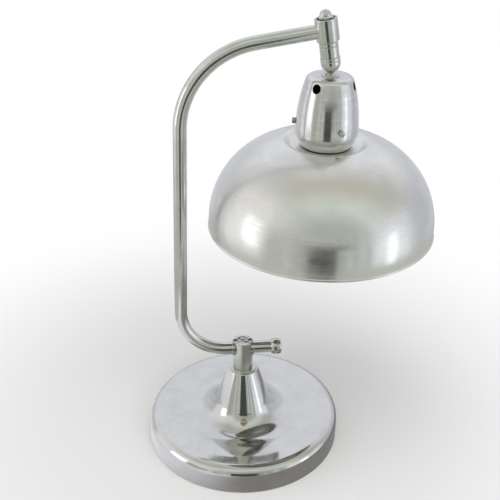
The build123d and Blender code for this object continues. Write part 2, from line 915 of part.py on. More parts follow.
with BuildPart() as bulb_glass:
    with BuildSketch(section_plane(hang_frame)):
        with BuildLine():
            throat = Line((bulb_neck_radius, bulb_neck_top), (bulb_neck_radius, bulb_neck_bottom))
            flare = JernArc(throat @ 1, throat % 1, bulb_neck_curve, bulb_neck_turn)
            JernArc(flare @ 1, flare % 1, bulb_radius, -(90 + bulb_neck_turn))
            offset(amount=bulb_wall, side=Side.RIGHT)
        make_face()
    revolve(axis=Axis(hang_frame.origin, hang_frame.z_dir))

# Each piece is written under its own name
pieces = {
    "base_shell": base_shell,
    "base_weight": base_weight,
    "base_plate": base_plate,
    "plate_screws": plate_screws,
    "felt_pad": felt_pad,
    "post_bearing": post_bearing,
    "bearing_nut": bearing_nut,
    "cord_grommet": cord_grommet,
    "switch_bush": switch_bush,
    "switch_button": switch_button,
    "switch_body": switch_body,
    "switch_contact": switch_contact,
    "post": post,
    "post_washer": post_washer,
    "post_nut": post_nut,
    "clamp_screw": clamp_screw,
    "arm_sleeve": arm_sleeve,
    "sleeve_ring": sleeve_ring,
    "arm_tube": arm_tube,
    "arm_end_cap": arm_end_cap,
    "end_cap_screw": end_cap_screw,
    "knuckle": knuckle,
    "knuckle_washer": knuckle_washer,
    "acorn_nut": acorn_nut,
    "swivel_bolt": swivel_bolt,
    "swivel_housing": swivel_housing,
    "ball_cup": ball_cup,
    "ball_pad": ball_pad,
    "pad_spring": pad_spring,
    "ball": ball,
    "stem": stem,
    "stem_washer": stem_washer,
    "stem_nut": stem_nut,
    "cover": cover,
    "cover_nut": cover_nut,
    "cover_screws": cover_screws,
    "shade": shade,
    "holder_cap": holder_cap,
    "holder_nuts": holder_nuts,
    "holder_body": holder_body,
    "holder_insulator": holder_insulator,
    "holder_shell": holder_shell,
    "holder_contact": holder_contact,
    "bulb_cap": bulb_cap,
    "bulb_glass": bulb_glass,
}
os.makedirs("parts", exist_ok=True)
for name, piece in pieces.items():
    piece.part.label = name
    export_step(piece.part, f"parts/{name}.step")
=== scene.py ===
"""Jewellers lamp in polished metal: heavy round base, bent tube arm and a spun shade on a ball joint."""

import json
import logging
from abc import ABC, abstractmethod
from dataclasses import dataclass, field
from enum import Enum
from math import acos, asin, atan2, cos, degrees, hypot, pi, radians, sin, sqrt
from typing import ClassVar

import bpy
import numpy as np
from mathutils import Matrix

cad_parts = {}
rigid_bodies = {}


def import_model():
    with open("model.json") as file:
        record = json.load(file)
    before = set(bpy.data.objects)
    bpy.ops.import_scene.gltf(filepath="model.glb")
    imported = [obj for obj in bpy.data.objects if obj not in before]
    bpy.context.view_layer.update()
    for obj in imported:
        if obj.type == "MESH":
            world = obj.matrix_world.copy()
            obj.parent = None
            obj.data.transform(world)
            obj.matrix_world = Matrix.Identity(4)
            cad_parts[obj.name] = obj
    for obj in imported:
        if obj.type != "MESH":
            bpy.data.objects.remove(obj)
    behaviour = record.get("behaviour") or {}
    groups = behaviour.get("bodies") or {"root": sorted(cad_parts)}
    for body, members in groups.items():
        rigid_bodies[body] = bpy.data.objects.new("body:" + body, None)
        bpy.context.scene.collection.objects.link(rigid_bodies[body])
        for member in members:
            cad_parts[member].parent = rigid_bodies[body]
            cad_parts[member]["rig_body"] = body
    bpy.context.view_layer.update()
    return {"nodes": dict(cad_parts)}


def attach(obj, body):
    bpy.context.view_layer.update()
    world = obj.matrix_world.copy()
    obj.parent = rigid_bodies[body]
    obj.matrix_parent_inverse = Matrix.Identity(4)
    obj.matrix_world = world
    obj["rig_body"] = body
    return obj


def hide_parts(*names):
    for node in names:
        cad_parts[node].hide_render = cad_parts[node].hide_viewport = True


for leftover in list(bpy.data.objects):
    bpy.data.objects.remove(leftover)
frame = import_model()

log = logging.getLogger("lamp")
MM = 0.001
TINY = 1e-6
REPEATED = 1e-5
Array = np.ndarray
Point = tuple[float, float, float]
Colour = tuple[float, float, float]
Corners = tuple[tuple[float, ...], ...]
Bands = tuple[tuple[float, Colour], ...]
Socket = bpy.types.NodeSocket


class Wear(Enum):
    """How a plated surface has aged."""

    CLEAN = "clean"
    RUBBED = "rubbed"


class Hidden(Enum):
    """Rays that a stage card is hidden from."""

    CAMERA = "visible_camera"
    DIFFUSE = "visible_diffuse"
    TRANSMISSION = "visible_transmission"
    SHADOW = "visible_shadow"


@dataclass(frozen=True)
class Seat:
    """Place of a piece: a point and two directions, in millimetres of the lamp's frame."""

    origin: Point = (0.0, 0.0, 0.0)
    x_way: Point = (1.0, 0.0, 0.0)
    z_way: Point = (0.0, 0.0, 1.0)

    def place(self, points: Array) -> Array:
        """Carry points from the seat's own frame into the lamp's frame.

        Args:
            points: Array whose last axis holds x, y and z of the seat's frame.

        Returns:
            The same points in the lamp's frame.
        """
        x_way = np.asarray(self.x_way, float)
        z_way = np.asarray(self.z_way, float)
        basis = np.stack([x_way, np.cross(z_way, x_way), z_way])
        return np.asarray(self.origin, float) + points @ basis


@dataclass
class Skin:
    """Mesh in the making: points, faces of four and three corners, and their wrap coordinates."""

    points: Array
    quads: Array
    quad_wrap: Array
    tris: Array = field(default_factory=lambda: np.zeros((0, 3), int))
    tri_wrap: Array = field(default_factory=lambda: np.zeros((0, 3, 2)))

    def joined(self, other: "Skin") -> "Skin":
        """Both skins in one, side by side.

        Args:
            other: The skin that is put after this one.

        Returns:
            A skin with the points and faces of both.
        """
        shift = len(self.points)
        return Skin(
            np.concatenate([self.points, other.points]),
            np.concatenate([self.quads, other.quads + shift]),
            np.concatenate([self.quad_wrap, other.quad_wrap]),
            np.concatenate([self.tris, other.tris + shift]),
            np.concatenate([self.tri_wrap, other.tri_wrap]),
        )


def eased(corners: Corners, steps: int = 8, longest: float = 6.0) -> Array:
    """Profile line through corners, with arcs at the corners that have a round.

    An arc touches both runs at the round times the tangent of half the turn, and its points are the
    arc's centre plus the round turned evenly from one touching point to the other.

    Args:
        corners: Radius, height and optional round of each corner.
        steps: Points along each arc.
        longest: Longest step along a straight run.

    Returns:
        Array of radius and height, without repeated points.
    """
    line = np.array([c[:2] for c in corners], float)
    rounds = np.array([c[2] if len(c) > 2 else 0.0 for c in corners])[1:-1]
    ways = np.diff(line, axis=0)
    ways /= np.linalg.norm(ways, axis=1, keepdims=True)
    before, after = ways[:-1], ways[1:]
    bend = before[:, 0] * after[:, 1] - before[:, 1] * after[:, 0]
    turn = np.arctan2(bend, (before * after).sum(axis=1))
    touch = line[1:-1] - before * (rounds * np.tan(np.abs(turn) / 2))[:, None]
    side = np.sign(turn)[:, None] * np.stack([-before[:, 1], before[:, 0]], axis=1)
    centre = touch + side * rounds[:, None]
    angle = turn[:, None] * np.linspace(0.0, 1.0, steps)[None, :]
    x, y = np.moveaxis((touch - centre)[:, None, :], -1, 0)
    spoke = np.stack([x * np.cos(angle) - y * np.sin(angle), x * np.sin(angle) + y * np.cos(angle)], axis=-1)
    arcs = (centre[:, None, :] + spoke).reshape(-1, 2)
    return supported(np.concatenate([line[:1], arcs, line[-1:]]), longest)


def supported(line: Array, longest: float, margin: float = 0.25, short: float = 1.2) -> Array:
    """Line with repeated points taken out and long runs divided.

    Args:
        line: Points of the line.
        longest: Longest step that is left whole.
        margin: Distance from a run's ends to its first and last added points.
        short: Length up to which a run gets no added points.

    Returns:
        The line with added points near the ends of long runs and between them.
    """
    keep = np.concatenate([[True], np.linalg.norm(np.diff(line, axis=0), axis=1) > REPEATED])
    line = line[keep]
    out = [line[:1]]
    for start, end in zip(line[:-1], line[1:]):
        length = float(np.linalg.norm(end - start))
        if length > short:
            inner = np.linspace(margin / length, 1 - margin / length, max(2, int(length / longest) + 2))
            out.append(start + (end - start) * inner[:, None])
        out.append(end[None, :])
    return np.concatenate(out)


def arc_line(centre: tuple[float, float], radius: float, start: float, end: float, steps: int) -> Array:
    """Points on an arc round a centre, from the start angle to the end angle in degrees."""
    angle = np.radians(np.linspace(start, end, steps))
    return np.stack([centre[0] + radius * np.cos(angle), centre[1] + radius * np.sin(angle)], axis=1)


def circles(radius: Array, height: Array, sides: int) -> Array:
    """Grid of circles, a row for each profile point: radius times cosine, radius times sine, and height.

    Args:
        radius: Radius of each row, or of each of its points.
        height: Height of each row.
        sides: Points in each circle.

    Returns:
        Grid of rows, columns and x, y, z.
    """
    angle = np.linspace(0.0, 2 * pi, sides, endpoint=False)
    level = np.broadcast_to(height, (len(height), sides))
    return np.stack([radius * np.cos(angle), radius * np.sin(angle), level], axis=-1)


def strips(grid: Array) -> Array:
    """Corners of the cells between the rows of a grid that runs right round, four to a cell."""
    after = np.roll(grid, -1, axis=1)
    return np.stack([grid[:-1], grid[1:], after[1:], after[:-1]], axis=2)


def lattice(points: Array, loop: bool = False, first_pole: bool = False, last_pole: bool = False) -> Skin:
    """Skin over a grid of points whose columns run right round.

    Each cell between two rows and two columns is one face, and the last column joins the first.

    Args:
        points: Grid of rows, columns and x, y, z.
        loop: Whether the last row joins the first.
        first_pole: Whether the first row is one point.
        last_pole: Whether the last row is one point.

    Returns:
        The closed skin with columns and rows as wrap coordinates.
    """
    rows, sides = points.shape[:2]
    index = np.arange(rows * sides).reshape(rows, sides)
    run = np.linalg.norm(np.diff(points, axis=0), axis=2).mean(axis=1)
    along = np.concatenate([[0.0], np.cumsum(run)])
    if first_pole:
        index[0] = index[0, 0]
    if last_pole:
        index[-1] = index[-1, 0]
    row = np.arange(rows if loop else rows - 1)
    after = (row + 1) % rows
    column = np.arange(sides)
    right = (column + 1) % sides
    lower, upper = index[row], index[after]
    corner = np.stack([lower[:, column], lower[:, right], upper[:, right], upper[:, column]], axis=-1)
    around = np.stack([column, column + 1, column + 1, column], axis=-1) / sides
    total = along[-1] + (np.linalg.norm(points[0] - points[-1], axis=1).mean() if loop else 0.0)
    low = along[row]
    high = np.where(after == 0, total, along[after])
    level = np.stack([low, low, high, high], axis=-1)
    wrap = np.stack(np.broadcast_arrays(around[None], level[:, None]), axis=-1)
    body = np.ones(len(row), bool)
    tris, tri_wrap = [np.zeros((0, 3), int)], [np.zeros((0, 3, 2))]
    for pole, at, kept in ((first_pole, 0, [0, 2, 3]), (last_pole, -1, [0, 1, 2])):
        if pole:
            tris.append(corner[at][:, kept])
            tri_wrap.append(wrap[at][:, kept])
            body[at] = False
    return Skin(
        points.reshape(-1, 3),
        corner[body].reshape(-1, 4),
        wrap[body].reshape(-1, 4, 2),
        np.concatenate(tris),
        np.concatenate(tri_wrap),
    )


def turned(line: Array, seat: Seat, sides: int = 128, loop: bool = False) -> Skin:
    """Turned skin: each profile point goes round the seat's axis in a circle.

    The line is taken from its other end where its enclosed area is negative, so that faces look outward.

    Args:
        line: Radius and height along the profile.
        seat: Where the axis stands.
        sides: Points in each circle.
        loop: Whether the profile is closed.

    Returns:
        The turned skin.
    """
    radius, height = line[:, 0], line[:, 1]
    if (np.roll(height, -1) * radius - height * np.roll(radius, -1)).sum() < 0:
        line = line[::-1]
    grid = circles(line[:, :1], line[:, 1:], sides)
    return lattice(seat.place(grid), loop, line[0, 0] < TINY, line[-1, 0] < TINY)


def six_sided(flats: float, line: Array, seat: Seat, sides: int = 180) -> Skin:
    """Skin of a nut: a hexagon whose corners are cut back by the turned profile.

    The radius at an angle is the smaller of the profile's radius and half the flats over the cosine of
    the angle to the nearest flat's middle.

    Args:
        flats: Distance between opposite flats.
        line: Closed profile of radius and height.
        seat: Where the axis stands.
        sides: Points in each ring.

    Returns:
        The closed skin.
    """
    angle = np.linspace(0.0, 2 * pi, sides, endpoint=False)
    limit = flats / 2 / np.cos((angle + pi / 6) % (pi / 3) - pi / 6)
    radius = np.minimum(line[:, :1], limit[None, :])
    return lattice(seat.place(circles(radius, line[:, 1:], sides)), loop=True)


def slotted_head(
    radius: float, bottom: float, top: float, width: float, depth: float, seat: Seat, crown: float = 0.0
) -> Skin:
    """Round screw head with a slot along the seat's X.

    Circles of points carry the head's rounded profile. On the top face a point lies lower by the slot's
    depth where its distance from the slot's middle line is under half the width, with steep walls.

    Args:
        radius: Radius of the head.
        bottom: Height of its underside.
        top: Height of its rim's top.
        width: Width of the slot.
        depth: Depth of the slot.
        seat: Where the screw's axis stands.
        crown: Rise of the middle above the rim.

    Returns:
        The closed skin.
    """
    largest_round, round_share, steep, upper_share = 0.5, 0.12, 0.12, 0.6
    rows, sides = 40, 160
    edge = min(largest_round, radius * round_share)
    side = eased(((0.0, bottom), (radius, bottom, edge / 2), (radius, top, edge), (radius - 2 * edge, top)))
    inward = np.linspace(radius - 2 * edge, 0.0, rows)[1:]
    line = np.concatenate([side, np.stack([inward, np.full(len(inward), top)], axis=1)])
    grid = circles(line[:, :1], line[:, 1:], sides)
    upper = np.clip((grid[..., 2] - bottom) / (top - bottom), 0.0, 1.0) > upper_share
    rise = crown * np.clip(1 - (line[:, :1] / radius) ** 2, 0.0, 1.0)
    cut = np.clip((width / 2 + steep / 2 - np.abs(grid[..., 1])) / steep, 0.0, 1.0)
    grid[..., 2] += np.where(upper, rise - cut * (depth + rise), 0.0)
    return lattice(seat.place(grid), first_pole=True, last_pole=True)


def swept(path: Array, ways: Array, outer: float, inner: float, sides: int = 72) -> Skin:
    """Hollow tube along a path in the XZ plane.

    Each path point carries a circle in the plane square to the path, spanned by Y and the path's normal.
    The outer circles run forward and the inner ones back, so the tube closes over both ends.

    Args:
        path: Points of the centre line.
        ways: Unit directions along it.
        outer: Outside radius.
        inner: Inside radius.
        sides: Points in each circle.

    Returns:
        The closed skin.
    """
    angle = np.linspace(0.0, 2 * pi, sides, endpoint=False)
    normal = np.stack([-ways[:, 2], np.zeros(len(ways)), ways[:, 0]], axis=1)
    across = np.cross(ways, normal)
    spoke = normal[:, None] * np.cos(angle)[None, :, None] + across[:, None] * np.sin(angle)[None, :, None]
    outside = path[:, None] + outer * spoke
    inside = path[::-1, None] + inner * spoke[::-1]
    return lattice(np.concatenate([outside, inside]), loop=True)


@dataclass(frozen=True)
class Bore:
    """Round hole through a turned wall, drilled level or square to the wall.

    The level is the hole's height, or its distance from the axis where it is square to the wall.
    """

    angle: float
    level: float
    radius: float
    square: bool = False


@dataclass
class PiercedWall:
    """Turned wall with round holes, each in a patch of rings between hole and grid."""

    line: Array
    seat: Seat
    bores: tuple[Bore, ...]
    sides: int = 144
    rings: int = 4
    clear: float = 0.15
    crowd: float = 1.3
    samples: int = 90

    def __post_init__(self) -> None:
        """Measure the length along the profile up to each of its points."""
        step = np.linalg.norm(np.diff(self.line, axis=0), axis=1)
        self.along = np.concatenate([[0.0], np.cumsum(step)])

    def skin(self) -> tuple[Skin, list[Array]]:
        """Skin of the wall with its holes left open.

        The wall's points are radius and height of the profile at a length along it, turned by an
        angle. Around each hole a window of grid cells is taken out, and rings of points are put between
        the hole's edge and the window's edge, spaced evenly in angle and length.

        Returns:
            The skin, and for each hole the numbers of the points on its edge.
        """
        rows, sides, along = len(self.along), self.sides, self.along
        pitch = 2 * pi / sides
        index = np.arange(rows * sides).reshape(rows, sides)
        points = [self.spot(np.repeat(along, sides), np.tile(np.arange(sides) * pitch, rows))]
        solid = np.ones((rows - 1, sides), bool)
        patches, wraps, edges = [], [], []
        for bore in self.bores:
            row, column = self.window(bore, pitch)
            solid[np.ix_(row[:-1], column[:-1] % sides)] = False
            low, high = np.full(len(column) - 1, row[0]), np.full(len(column) - 1, row[-1])
            first, last = np.full(len(row) - 1, column[0]), np.full(len(row) - 1, column[-1])
            rim_row = np.concatenate([low, row[:-1], high, row[:0:-1]])
            rim_column = np.concatenate([column[:-1], last, column[:0:-1], first])
            rim = np.stack([along[rim_row], rim_column * pitch])
            middle = self.middle(bore)
            across = (rim[1] - radians(bore.angle)) * self.radius_at(middle)
            hole = np.stack(self.edge(bore, np.arctan2(rim[0] - middle, across)))
            share = np.linspace(0.0, 1.0, self.rings + 1)[:-1, None, None] ** self.crowd
            rings = np.concatenate([hole + (rim - hole) * share, rim[None]])
            own = sum(len(p) for p in points) + np.arange(self.rings * len(rim_row)).reshape(self.rings, -1)
            points.append(self.spot(rings[:-1, 0].ravel(), rings[:-1, 1].ravel()))
            edges.append(own[0])
            outer = index[rim_row, rim_column % sides]
            patches.append(strips(np.concatenate([own, outer[None]])).reshape(-1, 4))
            wraps.append(strips(np.stack([rings[:, 1] / (2 * pi), rings[:, 0]], axis=-1)).reshape(-1, 4, 2))
        row, column = np.nonzero(solid)
        right = (column + 1) % sides
        corners = ((row, column), (row, right), (row + 1, right), (row + 1, column))
        cells = np.stack([index[corner] for corner in corners], axis=-1)
        u = np.stack([column, column + 1, column + 1, column], axis=-1) / sides
        v = np.stack([along[level] for level, _ in corners], axis=-1)
        quads = np.concatenate([cells, *patches])
        wrap = np.concatenate([np.stack([u, v], axis=-1), *wraps]) / np.array([1.0, along[-1]])
        whole = np.concatenate(points)
        used = np.zeros(len(whole), bool)
        used[quads.ravel()] = True
        number = np.cumsum(used) - 1
        return Skin(whole[used], number[quads], wrap), [number[edge] for edge in edges]

    def window(self, bore: Bore, pitch: float) -> tuple[Array, Array]:
        """Rows and columns of the grid that lie around a hole.

        Args:
            bore: The hole.
            pitch: Angle between two columns in radians.

        Returns:
            Numbers of the rows and of the columns, which may run past the last column.
        """
        length, turn = self.edge(bore, np.linspace(0, 2 * pi, self.samples))
        low = max(0, int(np.searchsorted(self.along, length.min() - self.clear)) - 1)
        high = min(len(self.along) - 1, int(np.searchsorted(self.along, length.max() + self.clear)))
        spare = self.clear / self.radius_at(self.middle(bore))
        first = int(np.floor((turn.min() - spare) / pitch))
        last = int(np.ceil((turn.max() + spare) / pitch))
        return np.arange(low, high + 1), np.arange(first, last + 1)

    def radius_at(self, length: Array | float) -> Array:
        """Radius of the wall at lengths along the profile."""
        return np.interp(length, self.along, self.line[:, 0])

    def length_at(self, level: Array | float, column: int) -> Array:
        """Length along the profile where its radius, column 0, or height, column 1, has a value."""
        order = np.argsort(self.line[:, column])
        return np.interp(level, self.line[order, column], self.along[order])

    def spot(self, length: Array, turn: Array) -> Array:
        """Points of the wall at lengths along the profile and angles round the axis."""
        radius, height = self.radius_at(length), np.interp(length, self.along, self.line[:, 1])
        return self.seat.place(np.stack([radius * np.cos(turn), radius * np.sin(turn), height], axis=-1))

    def middle(self, bore: Bore) -> float:
        """Length along the profile at a hole's middle."""
        return float(self.length_at(bore.level, 0 if bore.square else 1))

    def edge(self, bore: Bore, bearing: Array) -> tuple[Array, Array]:
        """Edge of a hole, as lengths along the profile and angles round the axis.

        Args:
            bore: The hole.
            bearing: Directions from the hole's middle, in radians, along the wall's turn first.

        Returns:
            Lengths and angles of the edge's points.
        """
        across = bore.radius * np.cos(bearing)
        down = bore.radius * np.sin(bearing)
        if bore.square:
            middle = self.middle(bore)
            return middle + down, radians(bore.angle) + across / self.radius_at(middle)
        length = self.length_at(bore.level + down, 1)
        return length, radians(bore.angle) + np.arcsin(np.clip(across / self.radius_at(length), -1, 1))


@dataclass
class Bench:
    """Node tree in the making, with short ways to add its nodes."""

    tree: bpy.types.NodeTree

    def feed(self, node: bpy.types.Node, inputs: dict[int | str, object]) -> None:
        """Set inputs of a node, or join them to what other nodes put out.

        Args:
            node: The node.
            inputs: Numbers, colours or sockets, by the input's name or place.
        """
        for key, value in inputs.items():
            if isinstance(value, Socket):
                self.tree.links.new(value, node.inputs[key])
            else:
                node.inputs[key].default_value = value

    def add(self, kind: str, inputs: dict[int | str, object], **settings: object) -> bpy.types.Node:
        """New node.

        Args:
            kind: Last part of the node type's identifier.
            inputs: What its inputs are fed with.
            settings: Names and values of its properties.

        Returns:
            The node.
        """
        node = self.tree.nodes.new("ShaderNode" + kind)
        for key, value in settings.items():
            setattr(node, key, value)
        self.feed(node, inputs)
        return node

    def value(self, kind: str, inputs: dict[int | str, object], **settings: object) -> Socket:
        """First output that a new node has in use."""
        return next(s for s in self.add(kind, inputs, **settings).outputs if s.enabled)

    def place(self) -> Socket:
        """Position in the object's frame, in metres."""
        return self.add("TexCoord", {}).outputs["Object"]

    def wrap(self, around: float, along: float) -> Socket:
        """Wrap coordinates of a turned piece, stretched round its axis and along its profile."""
        uv = self.add("TexCoord", {}).outputs["UV"]
        return self.value("Mapping", {"Vector": uv, "Scale": (around, along, 1.0)})

    def noise(self, where: Socket, scale: float, detail: float = 4.0, rough: float = 0.55) -> Socket:
        """Cloudy noise over coordinates, about 0.5 on average."""
        return self.value("TexNoise", {"Vector": where, "Scale": scale, "Detail": detail, "Roughness": rough})

    def ranged(self, value: Socket, low: float, high: float, start: float = 0.0, end: float = 1.0) -> Socket:
        """Value carried smoothly from one range to another and held at the ends."""
        limits = {"From Min": low, "From Max": high, "To Min": start, "To Max": end}
        return self.value("MapRange", {"Value": value, **limits}, interpolation_type="SMOOTHSTEP")

    def sums(self, kind: str, first: Socket, second: Socket | float) -> Socket:
        """Two values in one sum, such as MULTIPLY or MAXIMUM."""
        return self.value("Math", {0: first, 1: second}, operation=kind)

    def mixed(self, share: Socket, first: Socket | Colour, second: Socket | Colour) -> Socket:
        """Colour between two, by a share."""
        pair = [tone if isinstance(tone, Socket) else (*tone, 1.0) for tone in (first, second)]
        return self.value("Mix", {"Factor": share, "A": pair[0], "B": pair[1]}, data_type="RGBA")

    def banded(self, value: Socket, reach: float, bands: Bands, span: float) -> Socket:
        """Colour in bands along a value.

        Args:
            value: The value.
            reach: Its limit on both sides of zero.
            bands: Places and colours.
            span: Limit of the places on both sides of zero.

        Returns:
            The colour.
        """
        share = self.value("MapRange", {"Value": value, "From Min": -reach, "From Max": reach})
        node = self.add("ValToRGB", {"Fac": share})
        ramp = node.color_ramp.elements
        ramp.remove(ramp[0])
        for index, (at, tone) in enumerate(bands):
            part = (at + span) / (2 * span)
            stop = ramp.new(part) if index else ramp[0]
            stop.position, stop.color = part, (*tone, 1.0)
        return node.outputs["Color"]

    def bump(self, height: Socket, depth: float, strength: float) -> Socket:
        """Normal of a surface raised by a height value, whose full step has a depth in metres."""
        return self.value("Bump", {"Height": height, "Distance": depth, "Strength": strength})

    def dress(self, **inputs: object) -> Socket:
        """Feed the material's own surface shader.

        Args:
            inputs: What its inputs are fed with, with _ for a space in a name.

        Returns:
            What the shader puts out.
        """
        shader = self.tree.nodes["Principled BSDF"]
        self.feed(shader, {name.replace("_", " "): value for name, value in inputs.items()})
        return shader.outputs["BSDF"]

    def show(self, surface: Socket) -> None:
        """Make a shader what the whole tree puts out."""
        ending = next(node for node in self.tree.nodes if node.type.startswith("OUTPUT"))
        self.feed(ending, {"Surface": surface})


def blank(name: str) -> tuple[bpy.types.Material, Bench]:
    """New material and the bench for its nodes.

    Args:
        name: Name of the material.

    Returns:
        The material and its bench.
    """
    material = bpy.data.materials.new(name)
    material.use_nodes = True
    return material, Bench(material.node_tree)


@dataclass(frozen=True)
class Pits:
    """Small dark pits in patches: their scale and sizes, where the patches start, and the colour."""

    scale: float
    small: float
    large: float
    patch: float
    start: float
    tone: Colour
    fade: float = 0.1

    def over(self, bench: Bench, where: Socket, colour: Socket) -> Socket:
        """Pits laid over a colour.

        Args:
            bench: Bench of the material.
            where: Coordinates that they follow.
            colour: Colour below.

        Returns:
            The mixed colour.
        """
        near = bench.value("TexVoronoi", {"Vector": where, "Scale": self.scale})
        pits = bench.ranged(near, self.small, self.large, 1.0, 0.0)
        gate = bench.ranged(bench.noise(where, self.patch, 2.0), self.start, self.start + self.fade)
        return bench.mixed(bench.sums("MULTIPLY", pits, gate), colour, self.tone)


class Finish(ABC):
    """Surface of a piece, made once as a material and then shared."""

    name: str
    made: ClassVar[dict[str, bpy.types.Material]] = {}

    def material(self) -> bpy.types.Material:
        """The finish as a material.

        Returns:
            The material, made at the first call.
        """
        if self.name not in Finish.made:
            Finish.made[self.name], bench = blank(self.name)
            self.lay(bench)
        return Finish.made[self.name]

    @abstractmethod
    def lay(self, bench: Bench) -> None:
        """Put the finish's nodes on the bench."""


@dataclass(frozen=True)
class Plated(Finish):
    """Polished plating with faint clouds, hairlines and a few pits."""

    name: str
    bright: Colour
    dull: Colour
    gloss: float
    haze: float
    wear: Wear = Wear.CLEAN
    worn: Colour = (0.52, 0.42, 0.27)
    worn_from: float = 0.66
    worn_fade: float = 0.16
    worn_share: float = 0.7
    pits: Pits = Pits(420.0, 0.05, 0.11, 60.0, 0.56, (0.2, 0.19, 0.17))

    def lay(self, bench: Bench) -> None:
        """Lay clouded colour, hazy gloss, pits and a faint roll of the sheet.

        Args:
            bench: Bench of the material.
        """
        where = bench.place()
        cloud = bench.noise(where, 38.0, 5.0, 0.6)
        colour = bench.mixed(bench.ranged(cloud, 0.35, 0.7), self.bright, self.dull)
        if self.wear is Wear.RUBBED:
            patch = bench.noise(where, 120.0, 6.0, 0.7)
            full = self.worn_from + self.worn_fade
            rubbed = bench.ranged(patch, self.worn_from, full, 0.0, self.worn_share)
            colour = bench.mixed(rubbed, colour, self.worn)
        haze = bench.sums("MULTIPLY", cloud, bench.noise(where, 900.0, 3.0))
        bench.dress(
            Base_Color=self.pits.over(bench, where, colour),
            Roughness=bench.ranged(haze, 0.18, 0.36, self.gloss, self.haze),
            Normal=bench.bump(bench.noise(where, 55.0, 2.0), 0.00006, 0.35),
            Metallic=1.0,
        )


@dataclass(frozen=True)
class Spun(Finish):
    """Metal that was spun on a lathe: fine rings round the axis, clouded by handling."""

    name: str
    bright: Colour
    dull: Colour
    gloss: float
    haze: float
    rings: float
    ring_depth: float
    pits: Pits = Pits(300.0, 0.04, 0.09, 40.0, 0.58, (0.3, 0.29, 0.27))

    def lay(self, bench: Bench) -> None:
        """Lay rings from wrap coordinates over clouded colour and gloss.

        Args:
            bench: Bench of the material.
        """
        where = bench.place()
        lines = bench.noise(bench.wrap(3.0, self.rings), 1.0, 6.0, 0.65)
        smear = bench.noise(bench.wrap(9.0, 14.0), 1.0, 4.0, 0.6)
        cloud = bench.sums("MULTIPLY", bench.noise(where, 16.0, 5.0, 0.6), smear)
        colour = bench.mixed(bench.ranged(cloud, 0.16, 0.36), self.bright, self.dull)
        haze = bench.sums("MULTIPLY", cloud, lines)
        bench.dress(
            Base_Color=self.pits.over(bench, where, colour),
            Roughness=bench.ranged(haze, 0.09, 0.16, self.gloss, self.haze),
            Normal=bench.bump(lines, self.ring_depth, 0.5),
            Metallic=1.0,
        )


@dataclass(frozen=True)
class Turnings(Finish):
    """Bare metal with a machined grain, in clean and stained patches."""

    name: str
    clean: Colour
    stained: Colour
    gloss: float
    haze: float

    def lay(self, bench: Bench) -> None:
        """Lay stains and a fine grain.

        Args:
            bench: Bench of the material.
        """
        where = bench.place()
        stain = bench.ranged(bench.noise(where, 90.0, 6.0, 0.65), 0.38, 0.68)
        grain = bench.noise(where, 1600.0, 3.0)
        bench.dress(
            Base_Color=bench.mixed(stain, self.clean, self.stained),
            Roughness=bench.ranged(grain, 0.3, 0.7, self.gloss, self.haze),
            Normal=bench.bump(grain, 0.00002, 0.4),
            Metallic=1.0,
        )


@dataclass(frozen=True)
class Moulded(Finish):
    """Rubber, plastic, glaze or cast paint: mottled colour and a fine surface texture."""

    name: str
    light: Colour
    dark: Colour
    gloss: float
    haze: float
    mottle: float
    texture: float
    depth: float

    def lay(self, bench: Bench) -> None:
        """Lay mottled colour and texture.

        Args:
            bench: Bench of the material.
        """
        where = bench.place()
        mottle = bench.ranged(bench.noise(where, self.mottle, 5.0, 0.6), 0.35, 0.65)
        texture = bench.noise(where, self.texture, 4.0, 0.6)
        bench.dress(
            Base_Color=bench.mixed(mottle, self.light, self.dark),
            Roughness=bench.ranged(texture, 0.3, 0.7, self.gloss, self.haze),
            Normal=bench.bump(texture, self.depth, 0.6),
        )


@dataclass(frozen=True)
class Felt(Finish):
    """Pressed wool felt with short crossing fibres."""

    name: str
    light: Colour
    dark: Colour
    fine: float = 900.0
    long: float = 140.0

    def lay(self, bench: Bench) -> None:
        """Lay two crossing sets of stretched fibres.

        Args:
            bench: Bench of the material.
        """
        fibres = []
        for scale in ((self.fine, self.long, self.fine), (self.long, self.fine, self.fine)):
            stretched = bench.value("Mapping", {"Vector": bench.place(), "Scale": scale})
            fibres.append(bench.noise(stretched, 1.0, 4.0, 0.7))
        fibre = bench.sums("MAXIMUM", *fibres)
        bench.dress(
            Base_Color=bench.mixed(bench.ranged(fibre, 0.4, 0.75), self.dark, self.light),
            Roughness=bench.ranged(fibre, 0.3, 0.8, 0.98, 0.88),
            Normal=bench.bump(fibre, 0.0004, 0.7),
            Sheen_Weight=0.35,
            Sheen_Roughness=0.5,
        )


@dataclass(frozen=True)
class PearlGlass(Finish):
    """Frosted lamp glass, whitest where the frosting is thick."""

    name: str
    clear: Colour
    white: Colour

    def lay(self, bench: Bench) -> None:
        """Lay uneven frosting.

        Args:
            bench: Bench of the material.
        """
        where = bench.place()
        frost = bench.noise(where, 140.0, 5.0, 0.6)
        bench.dress(
            Base_Color=bench.mixed(bench.ranged(frost, 0.3, 0.7), self.clear, self.white),
            Roughness=bench.ranged(frost, 0.3, 0.7, 0.35, 0.5),
            Normal=bench.bump(bench.noise(where, 2200.0, 3.0), 0.00002, 0.4),
            Transmission_Weight=0.55,
            IOR=1.5,
        )


